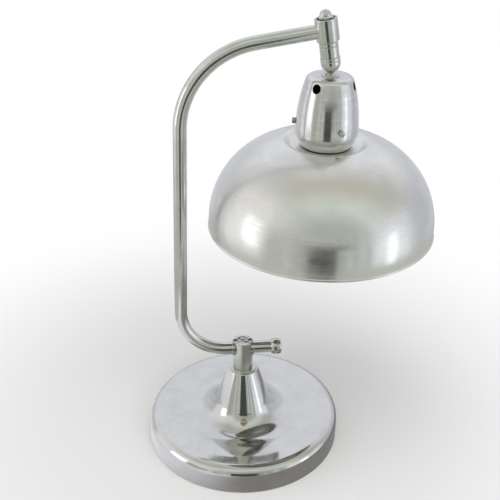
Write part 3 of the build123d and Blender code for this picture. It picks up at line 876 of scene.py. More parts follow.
PLATE = Plated("polished_plate", (0.68, 0.68, 0.67), (0.62, 0.62, 0.605), 0.07, 0.16)
NICKEL = Plated("nickel_plate", (0.65, 0.655, 0.62), (0.55, 0.555, 0.52), 0.12, 0.24)
TUBE = Plated("tube_plate", (0.72, 0.73, 0.7), (0.62, 0.63, 0.595), 0.1, 0.22, Wear.RUBBED)
COVER = Spun("cover_metal", (0.76, 0.76, 0.745), (0.66, 0.66, 0.65), 0.1, 0.2, 260.0, 0.000004)
SHADE = Spun("shade_metal", (0.82, 0.815, 0.79), (0.7, 0.695, 0.67), 0.17, 0.4, 420.0, 0.00001)
# Near-black colour for recesses: painted shade with some dirt.
SHADE_AND_DIRT = Moulded("shade_and_dirt", (0.05, 0.045, 0.04), (0.02, 0.018, 0.016), 0.55, 0.8, 200.0, 900.0, 0.00003)
# Near-black painted shade for the unlit inner faces of sheets, with a dull grain.
SHADED_INSIDE = Turnings("painted_shade_inside", (0.16, 0.155, 0.145), (0.08, 0.075, 0.07), 0.45, 0.65)
PALE_BRASS = Turnings("pale_brass", (0.56, 0.51, 0.4), (0.42, 0.37, 0.27), 0.18, 0.32)
BRASS = Turnings("turned_brass", (0.62, 0.47, 0.22), (0.38, 0.25, 0.11), 0.16, 0.32)
WORN_STEEL = Turnings("worn_steel", (0.74, 0.73, 0.7), (0.56, 0.55, 0.52), 0.42, 0.6)
STEEL = Turnings("bright_steel", (0.56, 0.55, 0.53), (0.36, 0.35, 0.33), 0.14, 0.3)
IRON = Moulded("cast_iron", (0.12, 0.12, 0.12), (0.06, 0.058, 0.055), 0.55, 0.8, 60.0, 700.0, 0.0002)
RUBBER = Moulded(
    "black_rubber", (0.045, 0.045, 0.045), (0.025, 0.025, 0.025), 0.45, 0.7, 120.0, 1500.0, 0.00005
)
RESIN = Moulded("brown_resin", (0.09, 0.045, 0.025), (0.05, 0.025, 0.015), 0.22, 0.4, 90.0, 800.0, 0.00003)
GLAZE = Moulded("white_glaze", (0.82, 0.81, 0.77), (0.74, 0.72, 0.67), 0.12, 0.25, 70.0, 500.0, 0.00003)
FELT = Felt("green_felt", (0.1, 0.16, 0.1), (0.03, 0.06, 0.035))
GLASS = PearlGlass("pearl_glass", (0.86, 0.86, 0.84), (0.95, 0.95, 0.93))

BY_SLOT: dict[str, Finish] = {
    "chrome": NICKEL,
    "cast_iron": IRON,
    "steel": STEEL,
    "brass": BRASS,
    "aluminium": SHADE,
    "felt": FELT,
    "rubber": RUBBER,
    "plastic": RESIN,
    "ceramic": GLAZE,
    "glass": GLASS,
}


def fitted(name: str, skin: Skin, finish: Finish, node: str, sharp: float = 38.0) -> bpy.types.Object:
    """Put a skin into the scene in place of a solid.

    Args:
        name: Name of the piece.
        skin: Its points and faces, in millimetres.
        finish: Its surface.
        node: Solid that it stands for, whose body it takes and which it hides.
        sharp: Angle in degrees above which an edge stays sharp.

    Returns:
        The new object.
    """
    mesh = bpy.data.meshes.new(name)
    mesh.from_pydata(skin.points * MM, [], [*skin.quads.tolist(), *skin.tris.tolist()])
    wrap = np.concatenate([skin.quad_wrap.ravel(), skin.tri_wrap.ravel()])
    mesh.uv_layers.new(name="wrap").data.foreach_set("uv", wrap.astype(np.float32))
    mesh.shade_smooth()
    mesh.set_sharp_from_angle(angle=radians(sharp))
    mesh.materials.append(finish.material())
    piece = bpy.data.objects.new(name, mesh)
    bpy.context.scene.collection.objects.link(piece)
    solid = frame["nodes"][node]
    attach(piece, solid["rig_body"])
    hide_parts(node)
    log.info("%s for %s: %d points", name, node, len(mesh.vertices))
    return piece


def lathed(name: str, node: str, finish: Finish, seat: Seat, corners: Corners, sides: int = 96) -> None:
    """Put a turned piece with a closed profile into the scene in place of a solid."""
    fitted(name, turned(eased(corners), seat, sides, loop=True), finish, node)


def walled(piece: bpy.types.Object, wall: float, inside: Finish) -> None:
    """Give a sheet its thickness, inward from its outer face.

    Args:
        piece: The sheet.
        wall: Thickness in millimetres.
        inside: Surface of its inner face; the callers pass painted shade.
    """
    piece.data.materials.append(inside.material())
    solid = piece.modifiers.new("wall", "SOLIDIFY")
    solid.material_offset = 1
    solid.thickness = wall * MM
    solid.offset = -1.0
    solid.use_even_offset = True


def paint_shade_and_dirt(piece: bpy.types.Object, radius: float, bottom: float, top: float) -> None:
    """Paint shade and dirt on the faces of a piece that lie in a short cylinder round the upright axis.

    Args:
        piece: The piece.
        radius: Radius of the cylinder in millimetres.
        bottom: Its lower end.
        top: Its upper end.
    """
    mesh = piece.data
    mesh.materials.append(SHADE_AND_DIRT.material())
    middle = np.empty(3 * len(mesh.polygons))
    mesh.polygons.foreach_get("center", middle)
    x, y, z = middle.reshape(-1, 3).T / MM
    # Faces inside the cylinder get the painted shade and dirt.
    inside = (np.hypot(x, y) < radius) & (z > bottom) & (z < top)
    mesh.polygons.foreach_set("material_index", inside.astype(np.int32))


@dataclass
class Base:
    """Round base: dish, rim and cone in one sheet, with the collar, switch and inlet."""

    radius: float = 95.5
    rim_height: float = 27.0
    rim_round: float = 9.5
    land: float = 78.0
    dish_curve: float = 95.0
    dish_turn: float = 13.0
    foot_round: float = 25.5
    cone_radius: float = 14.3
    cone_height: float = 76.5
    lip_round: float = 1.6
    wall: float = 1.2
    lift: float = 0.5
    mouth: float = 12.15
    step: float = 2.5
    collar_radius: float = 13.3
    collar_top: float = 78.0
    post_bore: float = 9.55
    sleeve_radius: float = 12.1
    sleeve_bore: float = 9.5
    sleeve_bottom: float = 4.5
    shelf_bore: float = 6.05
    shelf_bottom: float = 24.0
    shelf_top: float = 30.0
    seam: float = 40.0
    switch_circle: float = 32.0
    switch_angle: float = -93.4
    switch_hole: float = 3.25
    switch_ring: Corners = (
        (2.45, -2.6), (2.45, -3.6), (3.2, -3.6), (3.2, -0.6), (4.0, -0.6), (4.0, 1.3, 0.5), (2.45, 1.3, 0.3),
        (2.45, -2.5),
    )
    switch_button: Corners = (
        (0.0, -4.5), (2.9, -4.5, 0.2), (2.9, -3.7, 0.2), (2.4, -3.7), (2.4, 3.1, 0.6), (1.75, 3.1, 0.3),
        (1.3, 1.5, 0.3), (0.0, 1.4),
    )
    inlet_height: float = 12.0
    inlet_hole: float = 4.55
    inlet_bush: Corners = (
        (3.2, 0.0), (3.2, -3.0, 0.6), (6.3, -3.0, 0.3), (6.3, -1.5, 0.3), (4.5, -1.5), (4.5, 0.0),
        (6.3, 0.0, 0.2), (6.3, 2.0, 0.9), (3.2, 2.0, 0.7), (3.2, 0.1),
    )

    def build(self) -> None:
        """Make every piece of the base."""
        self.shell()
        self.collar()
        seat = self.switch_seat()
        lathed("switch_ring", "switch_bush", PALE_BRASS, seat, self.switch_ring)
        fitted("push_button", turned(eased(self.switch_button), seat, 96), PALE_BRASS, "switch_button")
        seat = Seat((0.0, self.radius, self.inlet_height), (1.0, 0.0, 0.0), (0.0, 1.0, 0.0))
        lathed("inlet_bush", "cord_grommet", RUBBER, seat, self.inlet_bush)

    def hollow(self) -> tuple[float, float]:
        """Centre of the hollow between dish and cone, as radius and height."""
        turn, reach = radians(self.dish_turn), self.dish_curve + self.foot_round
        return self.land - reach * sin(turn), self.rim_height - self.dish_curve + reach * cos(turn)

    def switch_seat(self) -> Seat:
        """Axis of the push switch, square to the hollow's face.

        Returns:
            The seat, on the hollow's face.
        """
        turn = radians(self.switch_angle)
        out, across = (cos(turn), sin(turn)), (-sin(turn), cos(turn), 0.0)
        middle = self.hollow()
        reach = middle[0] - self.switch_circle
        rise = sqrt(self.foot_round**2 - reach**2)
        side, up = reach / self.foot_round, rise / self.foot_round
        spot = (self.switch_circle * out[0], self.switch_circle * out[1], middle[1] - rise)
        return Seat(spot, across, (side * out[0], side * out[1], up))

    def outline(self) -> Array:
        """Outer line of the shell: rim, flat ring, fall, hollow, and the cone that touches the hollow.

        Returns:
            Radius and height from the edge at the table up to the cone's mouth.
        """
        middle = self.hollow()
        run, fall = middle[0] - self.cone_radius, self.cone_height - middle[1]
        slope = degrees(atan2(fall, run) + asin(self.foot_round / hypot(run, fall)))
        rim = (self.radius, self.rim_height, self.rim_round)
        edge = eased(((self.radius, self.lift), rim, (self.land, self.rim_height)), 20, self.step)
        fall_centre = (self.land, self.rim_height - self.dish_curve)
        dish = arc_line(fall_centre, self.dish_curve, 90.0, 90.0 + self.dish_turn, 24)
        hollow = arc_line(middle, self.foot_round, 270.0 + self.dish_turn, 270.0 - slope, 64)
        lip = (self.cone_radius, self.cone_height, self.lip_round)
        cone = eased((tuple(hollow[-1]), lip, (self.mouth, self.cone_height)), 12, self.step)
        return np.concatenate([edge, dish[1:], hollow[1:], cone[1:]])

    def shell(self) -> None:
        """Spun sheet from its edge at the table over rim and dish up the cone."""
        switch = Bore(self.switch_angle, self.switch_circle, self.switch_hole, square=True)
        inlet = Bore(90.0, self.inlet_height, self.inlet_hole)
        skin, _ = PiercedWall(self.outline(), Seat(), (switch, inlet), sides=240).skin()
        # The shell's inner face gets painted shade.
        walled(fitted("spun_base", skin, PLATE, "base_shell"), self.wall, SHADED_INSIDE)

    def collar(self) -> None:
        """Sleeve in the cone, with its collar on the cone's mouth."""
        corners = (
            (self.post_bore, self.seam),
            (self.post_bore, self.shelf_top),
            (self.shelf_bore, self.shelf_top),
            (self.shelf_bore, self.shelf_bottom),
            (self.sleeve_bore, self.shelf_bottom),
            (self.sleeve_bore, self.sleeve_bottom),
            (self.sleeve_radius, self.sleeve_bottom),
            (self.sleeve_radius, self.cone_height),
            (self.collar_radius, self.cone_height),
            (self.collar_radius, self.collar_top, 0.5),
            (self.post_bore, self.collar_top, 0.3),
            (self.post_bore, self.seam + 0.5),
        )
        lathed("cone_collar", "post_bearing", NICKEL, Seat(), corners, 128)


@dataclass
class Post:
    """Post that swivels in the cone, cross-bored for the arm, with the clamp screw on top."""

    radius: float = 9.5
    bottom: float = 30.1
    top: float = 108.5
    spigot: float = 6.0
    spigot_bottom: float = 16.4
    arm_height: float = 99.7
    bore: float = 6.85
    sides: int = 128
    screw_radius: float = 5.4
    screw_bottom: float = 106.6
    screw_top: float = 108.2
    screw_gap: float = 0.05
    chamfer: float = 0.7
    slot_width: float = 1.5
    slot_depth: float = 0.8
    slot_angle: float = -45.0
    slot_inset: float = 0.7
    slot_floor: float = 0.3
    edge: float = 0.7
    rim: float = 0.65
    # Reach of the painted shade and dirt past the clamp screw's edge.
    shade_and_dirt: float = 0.6
    step: float = 1.6

    def build(self) -> None:
        """Make post and clamp screw."""
        self.body()
        self.screw()

    def body(self) -> None:
        """Post with its cross bore: a pierced wall, closed at both ends, and the bore's own wall."""
        hole = self.screw_radius + self.screw_gap
        corners = (
            (self.radius, self.bottom),
            (self.radius, self.top, self.edge),
            (self.screw_radius + self.rim, self.top, 0.1),
            (hole, self.top - self.chamfer),
            (hole, self.screw_bottom),
        )
        bores = tuple(Bore(angle, self.arm_height, self.bore) for angle in (0.0, 180.0))
        skin, edges = PiercedWall(eased(corners, longest=self.step), Seat(), bores, self.sides).skin()
        first, second = (self.in_order(skin, edge) for edge in edges)
        share = np.linspace(0.0, 1.0, 5)[1:-1, None, None]
        inner = skin.points[first] + (skin.points[second] - skin.points[first]) * share
        own = len(skin.points) + np.arange(inner[..., 0].size).reshape(inner.shape[:2])
        cells = strips(np.concatenate([first[None], own, second[None]])).reshape(-1, 4)
        skin.points = np.concatenate([skin.points, inner.reshape(-1, 3)])
        skin.quads = np.concatenate([skin.quads, cells])
        skin.quad_wrap = np.concatenate([skin.quad_wrap, np.zeros((len(cells), 4, 2))])
        foot = (
            (self.radius, self.bottom),
            (self.spigot, self.bottom),
            (self.spigot, self.spigot_bottom, 0.5),
            (0.0, self.spigot_bottom),
        )
        post = fitted("arm_post", skin.joined(turned(eased(foot), Seat(), self.sides)), NICKEL, "post")
        # Painted shade and dirt in the gap between clamp screw and post.
        paint_shade_and_dirt(post, self.screw_radius + self.shade_and_dirt, self.screw_bottom, self.top - self.screw_gap)

    def in_order(self, skin: Skin, edge: Array) -> Array:
        """Edge points sorted by their direction round the bore's axis."""
        spot = skin.points[edge]
        return edge[np.argsort(np.arctan2(spot[:, 2] - self.arm_height, spot[:, 1]))]

    def screw(self) -> None:
        """Slotted clamp screw, with painted shade and dirt on its slot's floor."""
        turn = radians(self.slot_angle)
        seat = Seat(x_way=(cos(turn), sin(turn), 0.0))
        size = (self.screw_radius, self.screw_bottom, self.screw_top, self.slot_width, self.slot_depth)
        head = fitted("clamp_screw_slotted", slotted_head(*size, seat), WORN_STEEL, "clamp_screw", sharp=30.0)
        # Painted shade and dirt on the floor of the screw's slot.
        floor = self.screw_bottom + self.slot_floor
        paint_shade_and_dirt(head, self.screw_radius - self.slot_inset, floor, self.screw_top - self.screw_gap)


@dataclass
class Arm:
    """Bent tube with its sleeve and the bead on its free end."""

    tube_radius: float = 6.0
    tube_wall: float = 1.0
    height: float = 99.7
    free_end: float = 34.4
    bend_start: float = 16.4
    lower_bend: float = 42.8
    upright: float = 185.2
    lean: float = 2.0
    upper_bend: float = 76.0
    rise: float = 8.9
    reach: float = 58.9
    tube_stop: float = 4.6
    fit: float = 0.05
    bead_start: float = 27.8
    bead_end: float = 37.4
    bead_radius: float = 8.05
    bead_edge: float = 6.9
    bead_flat: float = 0.5
    rear_inset: float = 0.2
    front_inset: float = 0.25
    recess: float = 2.6
    recess_floor: float = 2.2
    recess_depth: float = 0.5
    sleeve: float = 0.8
    flange: float = 7.9
    flange_start: float = 9.6
    flange_end: float = 10.4

    def build(self) -> None:
        """Make the tube, its sleeve and the bead."""
        skin = swept(*self.route(), self.tube_radius, self.tube_radius - self.tube_wall)
        fitted("bent_tube", skin, TUBE, "arm_tube")
        self.friction_sleeve()
        self.bead()

    def run_seat(self) -> Seat:
        """Axis of the low run, towards the free end."""
        return Seat((0.0, 0.0, self.height), (0.0, 1.0, 0.0), (1.0, 0.0, 0.0))

    def route(self) -> tuple[Array, Array]:
        """Centre line of the tube with its directions.

        It goes from the free end through the post, round the lower bend, up the leaning upright, and
        round the upper bend to the knuckle. On a bend the direction turns evenly with the length.

        Returns:
            Points and unit directions.
        """
        turns = (
            (0.0, self.free_end + self.bend_start, 16),
            (-radians(90 + self.lean), self.lower_bend, 60),
            (0.0, self.upright, 40),
            (-radians(90 - self.lean - self.rise), self.upper_bend, 72),
            (0.0, self.reach - self.tube_stop, 20),
        )
        at = np.array([self.free_end, 0.0, self.height])
        heading = pi
        points, ways = [at[None]], [np.array([[cos(heading), 0.0, sin(heading)]])]
        for turn, size, steps in turns:
            share = np.linspace(0.0, 1.0, steps + 1)[1:]
            angle = heading + turn * share
            way = np.stack([np.cos(angle), np.zeros(steps), np.sin(angle)], axis=1)
            if turn:
                centre = at - np.array([-sin(heading), 0.0, cos(heading)]) * size
                spots = centre + np.stack([-np.sin(angle), np.zeros(steps), np.cos(angle)], axis=1) * size
            else:
                spots = at + way * (size * share)[:, None]
            points.append(spots)
            ways.append(way)
            at = spots[-1]
            heading += turn
        return np.concatenate(points), np.concatenate(ways)

    def friction_sleeve(self) -> None:
        """Sleeve in the post with its flange, and the ring on the other side."""
        bore, outer = self.tube_radius + self.fit, self.tube_radius + self.sleeve
        start, end = self.flange_start, self.flange_end
        corners = (
            (bore, 0.0),
            (bore, -end, 0.2),
            (self.flange, -end, 0.35),
            (self.flange, -start, 0.1),
            (outer, -start),
            (outer, end, 0.2),
            (bore, end, 0.2),
            (bore, 0.1),
        )
        lathed("arm_sleeve_turned", "arm_sleeve", NICKEL, self.run_seat(), corners)
        hole = outer + self.fit
        corners = (
            (hole, start + 0.3),
            (hole, start, 0.05),
            (self.flange, start, 0.1),
            (self.flange, end, 0.35),
            (hole, end, 0.15),
            (hole, start + 0.4),
        )
        lathed("sleeve_ring_turned", "sleeve_ring", NICKEL, self.run_seat(), corners)

    def bead(self) -> None:
        """Crowned bead on the free end, recessed in its face."""
        half = (self.bead_end - self.bead_start) / 2
        drop = self.bead_radius - self.bead_edge
        bow = (half**2 + drop**2) / (2 * drop)
        span = degrees(asin((half - self.bead_flat) / bow))
        middle = (self.bead_start + self.bead_end) / 2
        fit = self.tube_radius + self.fit
        floor = self.bead_end - self.recess_depth
        rear_edge = (self.bead_edge - self.rear_inset, self.bead_start)
        rear = ((fit, self.free_end), (fit, self.bead_start), rear_edge)
        front = (
            (self.bead_edge - self.front_inset, self.bead_end),
            (self.recess, self.bead_end, 0.2),
            (self.recess_floor, floor, 0.2),
            (0.0, floor),
        )
        crown = arc_line((self.bead_radius - bow, middle), bow, -span, span, 24)
        line = np.concatenate([[(0.0, self.free_end)], eased(rear), crown, eased(front)])
        fitted("arm_bead", turned(line, self.run_seat(), 128), NICKEL, "arm_end_cap")


@dataclass
class Knuckle:
    """Knuckle at the arm's end with its acorn nut, swivel housing and ball cup."""

    centre: Point = (69.676, 0.0, 410.626)
    rise: float = 8.9
    radius: float = 9.5
    above: float = 10.15
    below: float = 9.35
    edge: float = 1.2
    step_radius: float = 7.9
    step_bottom: float = -12.65
    recess: float = 7.6
    recess_floor: float = 6.7
    bolt: float = 3.05
    washer: float = 6.3
    washer_top: float = 7.6
    acorn_flats: float = 11.6
    acorn_bottom: float = 7.7
    acorn_hex_top: float = 11.7
    acorn_chamfer: float = 0.5
    acorn_dome: float = 12.2
    acorn_round: float = 4.9
    acorn_turn: float = 88.0
    acorn_bore_top: float = 13.2
    housing_top: float = -12.75
    housing_roof: float = 3.2
    housing_bore: float = 4.9
    housing_bottom: float = -22.15
    spigot: float = 6.4
    spigot_length: float = 2.5
    seam: float = -20.0
    cup_radius: float = 8.35
    cup_bore: float = 6.45
    cup_sink: float = 2.6
    cup_groove: float = 2.7
    cup_groove_size: float = 0.4
    cup_shoulder: float = -26.6
    cup_lip: float = -34.0
    cup_lip_radius: float = 4.9
    cup_mouth: float = 4.5
    cup_margin: float = 0.2
    ball_drop: float = 29.8
    ball_seat: float = 6.05

    def seat(self) -> Seat:
        """Axis of the swivel, with the arm's direction as X."""
        turn = radians(self.rise)
        return Seat(self.centre, (cos(turn), 0.0, sin(turn)), (-sin(turn), 0.0, cos(turn)))

    def build(self) -> None:
        """Make every piece of the knuckle."""
        self.body()
        self.nut()
        self.housing()
        self.cup()

    def body(self) -> None:
        """Turned body, recessed on top and stepped below, and the washer in the recess."""
        corners = (
            (self.bolt, 0.0),
            (self.bolt, self.step_bottom),
            (self.step_radius, self.step_bottom, 0.35),
            (self.step_radius, -self.below),
            (self.radius - self.edge, -self.below, 0.3),
            (self.radius, -self.below + self.edge, 0.6),
            (self.radius, self.above, 0.5),
            (self.recess, self.above, 0.35),
            (self.recess, self.recess_floor, 0.4),
            (self.bolt, self.recess_floor),
            (self.bolt, 0.1),
        )
        lathed("knuckle_body", "knuckle", NICKEL, self.seat(), corners, 128)
        corners = (
            (self.bolt, self.recess_floor + 0.4),
            (self.bolt, self.recess_floor),
            (self.washer, self.recess_floor, 0.15),
            (self.washer, self.washer_top, 0.3),
            (self.bolt, self.washer_top),
            (self.bolt, self.recess_floor + 0.5),
        )
        lathed("acorn_washer", "knuckle_washer", BRASS, self.seat(), corners)

    def nut(self) -> None:
        """Acorn nut: chamfered hexagon under a round dome."""
        half = self.acorn_flats / 2
        corner = half / cos(pi / 6)
        needle, tip = 0.05, 0.01
        top = self.acorn_dome + self.acorn_round - tip
        side = (
            (corner, self.acorn_bottom + self.acorn_chamfer),
            (corner, self.acorn_hex_top - self.acorn_chamfer),
            (half, self.acorn_hex_top),
        )
        line = np.concatenate(
            [
                eased(((self.bolt, self.acorn_bottom), (half, self.acorn_bottom))),
                eased(side),
                arc_line((0.0, self.acorn_dome), self.acorn_round, 0.0, self.acorn_turn, 24),
                eased(((needle, top), (needle, self.acorn_bore_top), (self.bolt, self.acorn_bore_top))),
                [(self.bolt, self.acorn_bottom + 0.1)],
            ]
        )
        fitted("acorn_nut_domed", six_sided(self.acorn_flats, line, self.seat()), NICKEL, "acorn_nut")

    def housing(self) -> None:
        """Swivel housing between knuckle and cup."""
        roof, end = self.housing_top - self.housing_roof, self.housing_bottom - self.spigot_length
        corners = (
            (self.housing_bore, self.seam),
            (self.housing_bore, roof),
            (self.bolt, roof),
            (self.bolt, self.housing_top),
            (self.step_radius, self.housing_top, 0.35),
            (self.step_radius, self.housing_bottom, 0.35),
            (self.spigot, self.housing_bottom),
            (self.spigot, end),
            (self.housing_bore, end),
            (self.housing_bore, self.seam - 0.1),
        )
        lathed("swivel_body", "swivel_housing", NICKEL, self.seat(), corners, 128)

    def cup(self) -> None:
        """Ball cup: grooved collar over a bowl that closes round the ball."""
        drop = self.cup_shoulder - self.cup_lip
        inset = self.cup_radius - self.cup_lip_radius
        bowl_radius = (drop**2 + inset**2) / (2 * inset)
        bowl_end = degrees(asin(drop / bowl_radius))
        seat_end = degrees(acos(self.cup_mouth / self.ball_seat))
        groove, cut = self.housing_bottom - self.cup_groove, self.cup_groove_size
        sink = self.housing_bottom - self.cup_sink
        collar = (
            (self.cup_radius, self.cup_shoulder + self.cup_margin),
            (self.cup_radius, groove - cut),
            (self.cup_radius - cut, groove),
            (self.cup_radius, groove + cut),
            (self.cup_radius, self.housing_bottom, 0.5),
            (self.cup_bore, self.housing_bottom),
            (self.cup_bore, sink),
            (self.ball_seat, sink),
        )
        line = np.concatenate(
            [
                [(self.cup_mouth, self.cup_lip), (self.cup_lip_radius - self.cup_margin, self.cup_lip)],
                arc_line((self.cup_radius - bowl_radius, self.cup_shoulder), bowl_radius, -bowl_end, 0.0, 24),
                eased(collar),
                arc_line((0.0, -self.ball_drop), self.ball_seat, 0.0, -seat_end, 24),
            ]
        )
        fitted("ball_cup_turned", turned(line, self.seat(), 128, loop=True), NICKEL, "ball_cup")


@dataclass
class Shade:
    """Spun shade under its tapered cover, with the bulb inside."""

    centre: Point = (74.2864, 0.0, 381.185)
    lean: float = 1.2
    cover_top: float = -8.2
    cover_bottom: float = -69.5
    cover_radius: float = 27.1
    cover_waist: float = -55.0
    cover_curve: float = 144.6
    cover_under: float = 22.8
    cover_shoulder: float = 5.0
    cover_wall: float = 1.0
    stem_bore: float = 2.55
    washer: float = 7.85
    washer_thickness: float = 1.0
    nut_flats: float = 9.2
    nut_top: float = 2.2
    nut_bevel: float = 0.3
    nut_inset: float = 0.1
    vent_radius: float = 3.9
    vent_level: float = -14.8
    vent_angle: float = -130.0
    vent_pitch: float = 107.0
    screw_level: float = -49.8
    screw_angle: float = -73.0
    screw_pitch: float = 120.0
    screw_hole: float = 1.95
    screw_shank: float = 1.9
    screw_inside: float = 20.25
    screw_head: float = 2.7
    screw_start: float = 27.15
    screw_end: float = 30.35
    screw_slot: float = 0.9
    screw_crown: float = 0.5
    screw_lap: float = 0.05
    slot_lean: tuple[float, float] = (0.8, 0.6)
    radius: float = 101.5
    curve: float = 76.9
    dome_turn: float = 80.2
    inner_turn: float = 80.1
    top: float = -69.7
    lip: float = -65.5
    lip_radius: float = 36.5
    lip_out: float = 0.27
    lip_drop: float = 1.05
    floor_radius: float = 31.0
    step: float = 2.0
    skirt_gap: float = 0.2
    skirt_top: float = -141.474
    rim: float = -147.074
    bead: float = 1.3
    bead_gap: float = 67.4
    bead_clear: float = 1.6
    wall: float = 1.0
    neck: float = 20.2
    neck_top: float = -43.7
    bulb_neck: float = 12.6
    bulb_flare: float = 25.0
    bulb_radius: float = 29.5
    bulb_top: float = -65.4
    bulb_shoulder: float = -74.4
    bulb_wall: float = 0.8

    def seat(self) -> Seat:
        """Axis of the shade from the ball's centre, with its slight lean."""
        turn = radians(self.lean)
        return Seat(self.centre, (cos(turn), 0.0, -sin(turn)), (sin(turn), 0.0, cos(turn)))

    def build(self) -> None:
        """Make every piece of the shade."""
        self.top_nut()
        self.cover()
        self.screws()
        self.dome()
        self.bulb()

    def top_nut(self) -> None:
        """Washer and thin nut that hold the stem to the cover."""
        low, high = self.cover_top + self.washer_thickness, self.cover_top + self.nut_top
        corners = (
            (self.stem_bore, self.cover_top + 0.5),
            (self.stem_bore, self.cover_top),
            (self.washer, self.cover_top, 0.2),
            (self.washer, low, 0.4),
            (self.stem_bore, low),
            (self.stem_bore, self.cover_top + 0.6),
        )
        lathed("stem_washer_turned", "stem_washer", NICKEL, self.seat(), corners)
        corner = self.nut_flats / 2 / cos(pi / 6)
        corners = (
            (self.stem_bore, low + 0.5),
            (self.stem_bore, low),
            (corner, low),
            (corner, high - self.nut_bevel),
            (self.nut_flats / 2 - self.nut_inset, high),
            (self.stem_bore, high),
            (self.stem_bore, low + 0.6),
        )
        fitted("stem_nut_cut", six_sided(self.nut_flats, eased(corners), self.seat()), NICKEL, "stem_nut")

    def cover_line(self) -> Array:
        """Outer line of the cover, three arcs and a flat.

        Returns:
            Radius and height from its turned-in lower edge up to the stem's hole.
        """
        under_turn = degrees(asin((self.cover_waist - self.cover_bottom) / self.cover_under))
        under_centre = (self.cover_radius - self.cover_under, self.cover_waist)
        inner = self.cover_radius - self.cover_curve
        reach = self.cover_curve - self.cover_shoulder
        level = self.cover_top - self.cover_shoulder
        turn = asin((level - self.cover_waist) / reach)
        x = inner + reach * cos(turn)
        flat = np.linspace(x, self.stem_bore, 8)[1:]
        return np.concatenate(
            [
                arc_line(under_centre, self.cover_under, -under_turn, 0.0, 16),
                arc_line((inner, self.cover_waist), self.cover_curve, 0.0, degrees(turn), 32)[1:],
                arc_line((x, level), self.cover_shoulder, degrees(turn), 90.0, 14)[1:],
                np.stack([flat, np.full(len(flat), self.cover_top)], axis=1),
            ]
        )

    def cover(self) -> None:
        """Tapered cover with three vents and three screw holes."""
        vents = [self.vent_angle + self.vent_pitch * k for k in range(3)]
        bores = [Bore(angle, self.vent_level, self.vent_radius) for angle in vents]
        bores += [Bore(angle, self.screw_level, self.screw_hole) for angle in self.screw_angles()]
        skin, _ = PiercedWall(self.cover_line(), self.seat(), tuple(bores), sides=160).skin()
        # The cover's inner face, seen through the vents, gets painted shade.
        walled(fitted("tapered_cover", skin, COVER, "cover"), self.cover_wall, SHADED_INSIDE)

    def screw_angles(self) -> list[float]:
        """Angles of the three screws round the axis, in degrees."""
        return [self.screw_angle + self.screw_pitch * k for k in range(3)]

    def screws(self) -> None:
        """Three round-headed screws that grip the shade's neck."""
        home = self.seat()
        up = np.asarray(home.z_way)
        end, tip = self.screw_start + self.screw_lap, self.screw_inside
        shank = eased(((0.0, tip), (self.screw_shank, tip, 0.3), (self.screw_shank, end), (0.0, end)))
        top = self.screw_end - self.screw_crown
        size = (self.screw_head, self.screw_start, top, self.screw_slot, self.screw_slot)
        skins = []
        for angle in self.screw_angles():
            turn = radians(angle)
            way = np.array([cos(turn), sin(turn), 0.0])
            spot = home.place(np.array([[0.0, 0.0, self.screw_level], way]))
            out = spot[1] - np.asarray(home.origin)
            slant = np.cross(out, up) * self.slot_lean[0] + up * self.slot_lean[1]
            seat = Seat(tuple(spot[0]), tuple(slant / np.linalg.norm(slant)), tuple(out))
            skins.append(slotted_head(*size, seat, self.screw_crown).joined(turned(shank, seat, 48)))
        fitted("neck_screws", skins[0].joined(skins[1]).joined(skins[2]), STEEL, "cover_screws", sharp=30.0)

    def dome(self) -> None:
        """Spun dome with skirt, wired rim, the well under the cover and the neck, in a closed profile."""
        middle = (self.radius - self.curve, self.skirt_top)
        outside = arc_line(middle, self.curve, 0.0, self.dome_turn, 90)
        inside = arc_line(middle, self.curve - self.wall, self.inner_turn, 0.0, 90)
        fall = np.array([self.floor_radius - self.lip_radius, self.top - self.lip])
        fall /= np.linalg.norm(fall)
        inner_floor = self.floor_radius + self.wall * (1 + fall[0]) / -fall[1]
        wire_centre = (self.radius - self.wall / 2, self.rim)
        skirt_ends = self.rim + self.bead_clear, self.skirt_top - self.skirt_gap
        skirt = np.array([[self.radius, end] for end in skirt_ends])
        neck_hole, floor = self.neck - self.wall, self.top - self.wall
        well = (
            tuple(outside[-1]),
            (self.lip_radius, self.lip, 2.5),
            (self.floor_radius, self.top, 4.0),
            (self.neck, self.top, 0.5),
            (self.neck, self.neck_top, 0.3),
            (neck_hole, self.neck_top, 0.3),
            (neck_hole, floor, 1.0),
            (inner_floor, floor, 5.0),
            (self.lip_radius + self.lip_out, self.lip - self.lip_drop, 1.5),
            tuple(inside[0]),
        )
        line = np.concatenate(
            [
                arc_line(wire_centre, self.bead, 180.0 - self.bead_gap, 360.0 + self.bead_gap, 28),
                supported(skirt, self.step),
                outside[:-1],
                eased(well, longest=self.step),
                inside[1:],
                supported(skirt[::-1] - np.array([self.wall, 0.0]), self.step),
            ]
        )
        fitted("spun_shade", turned(line, self.seat(), 288, loop=True), SHADE, "shade")

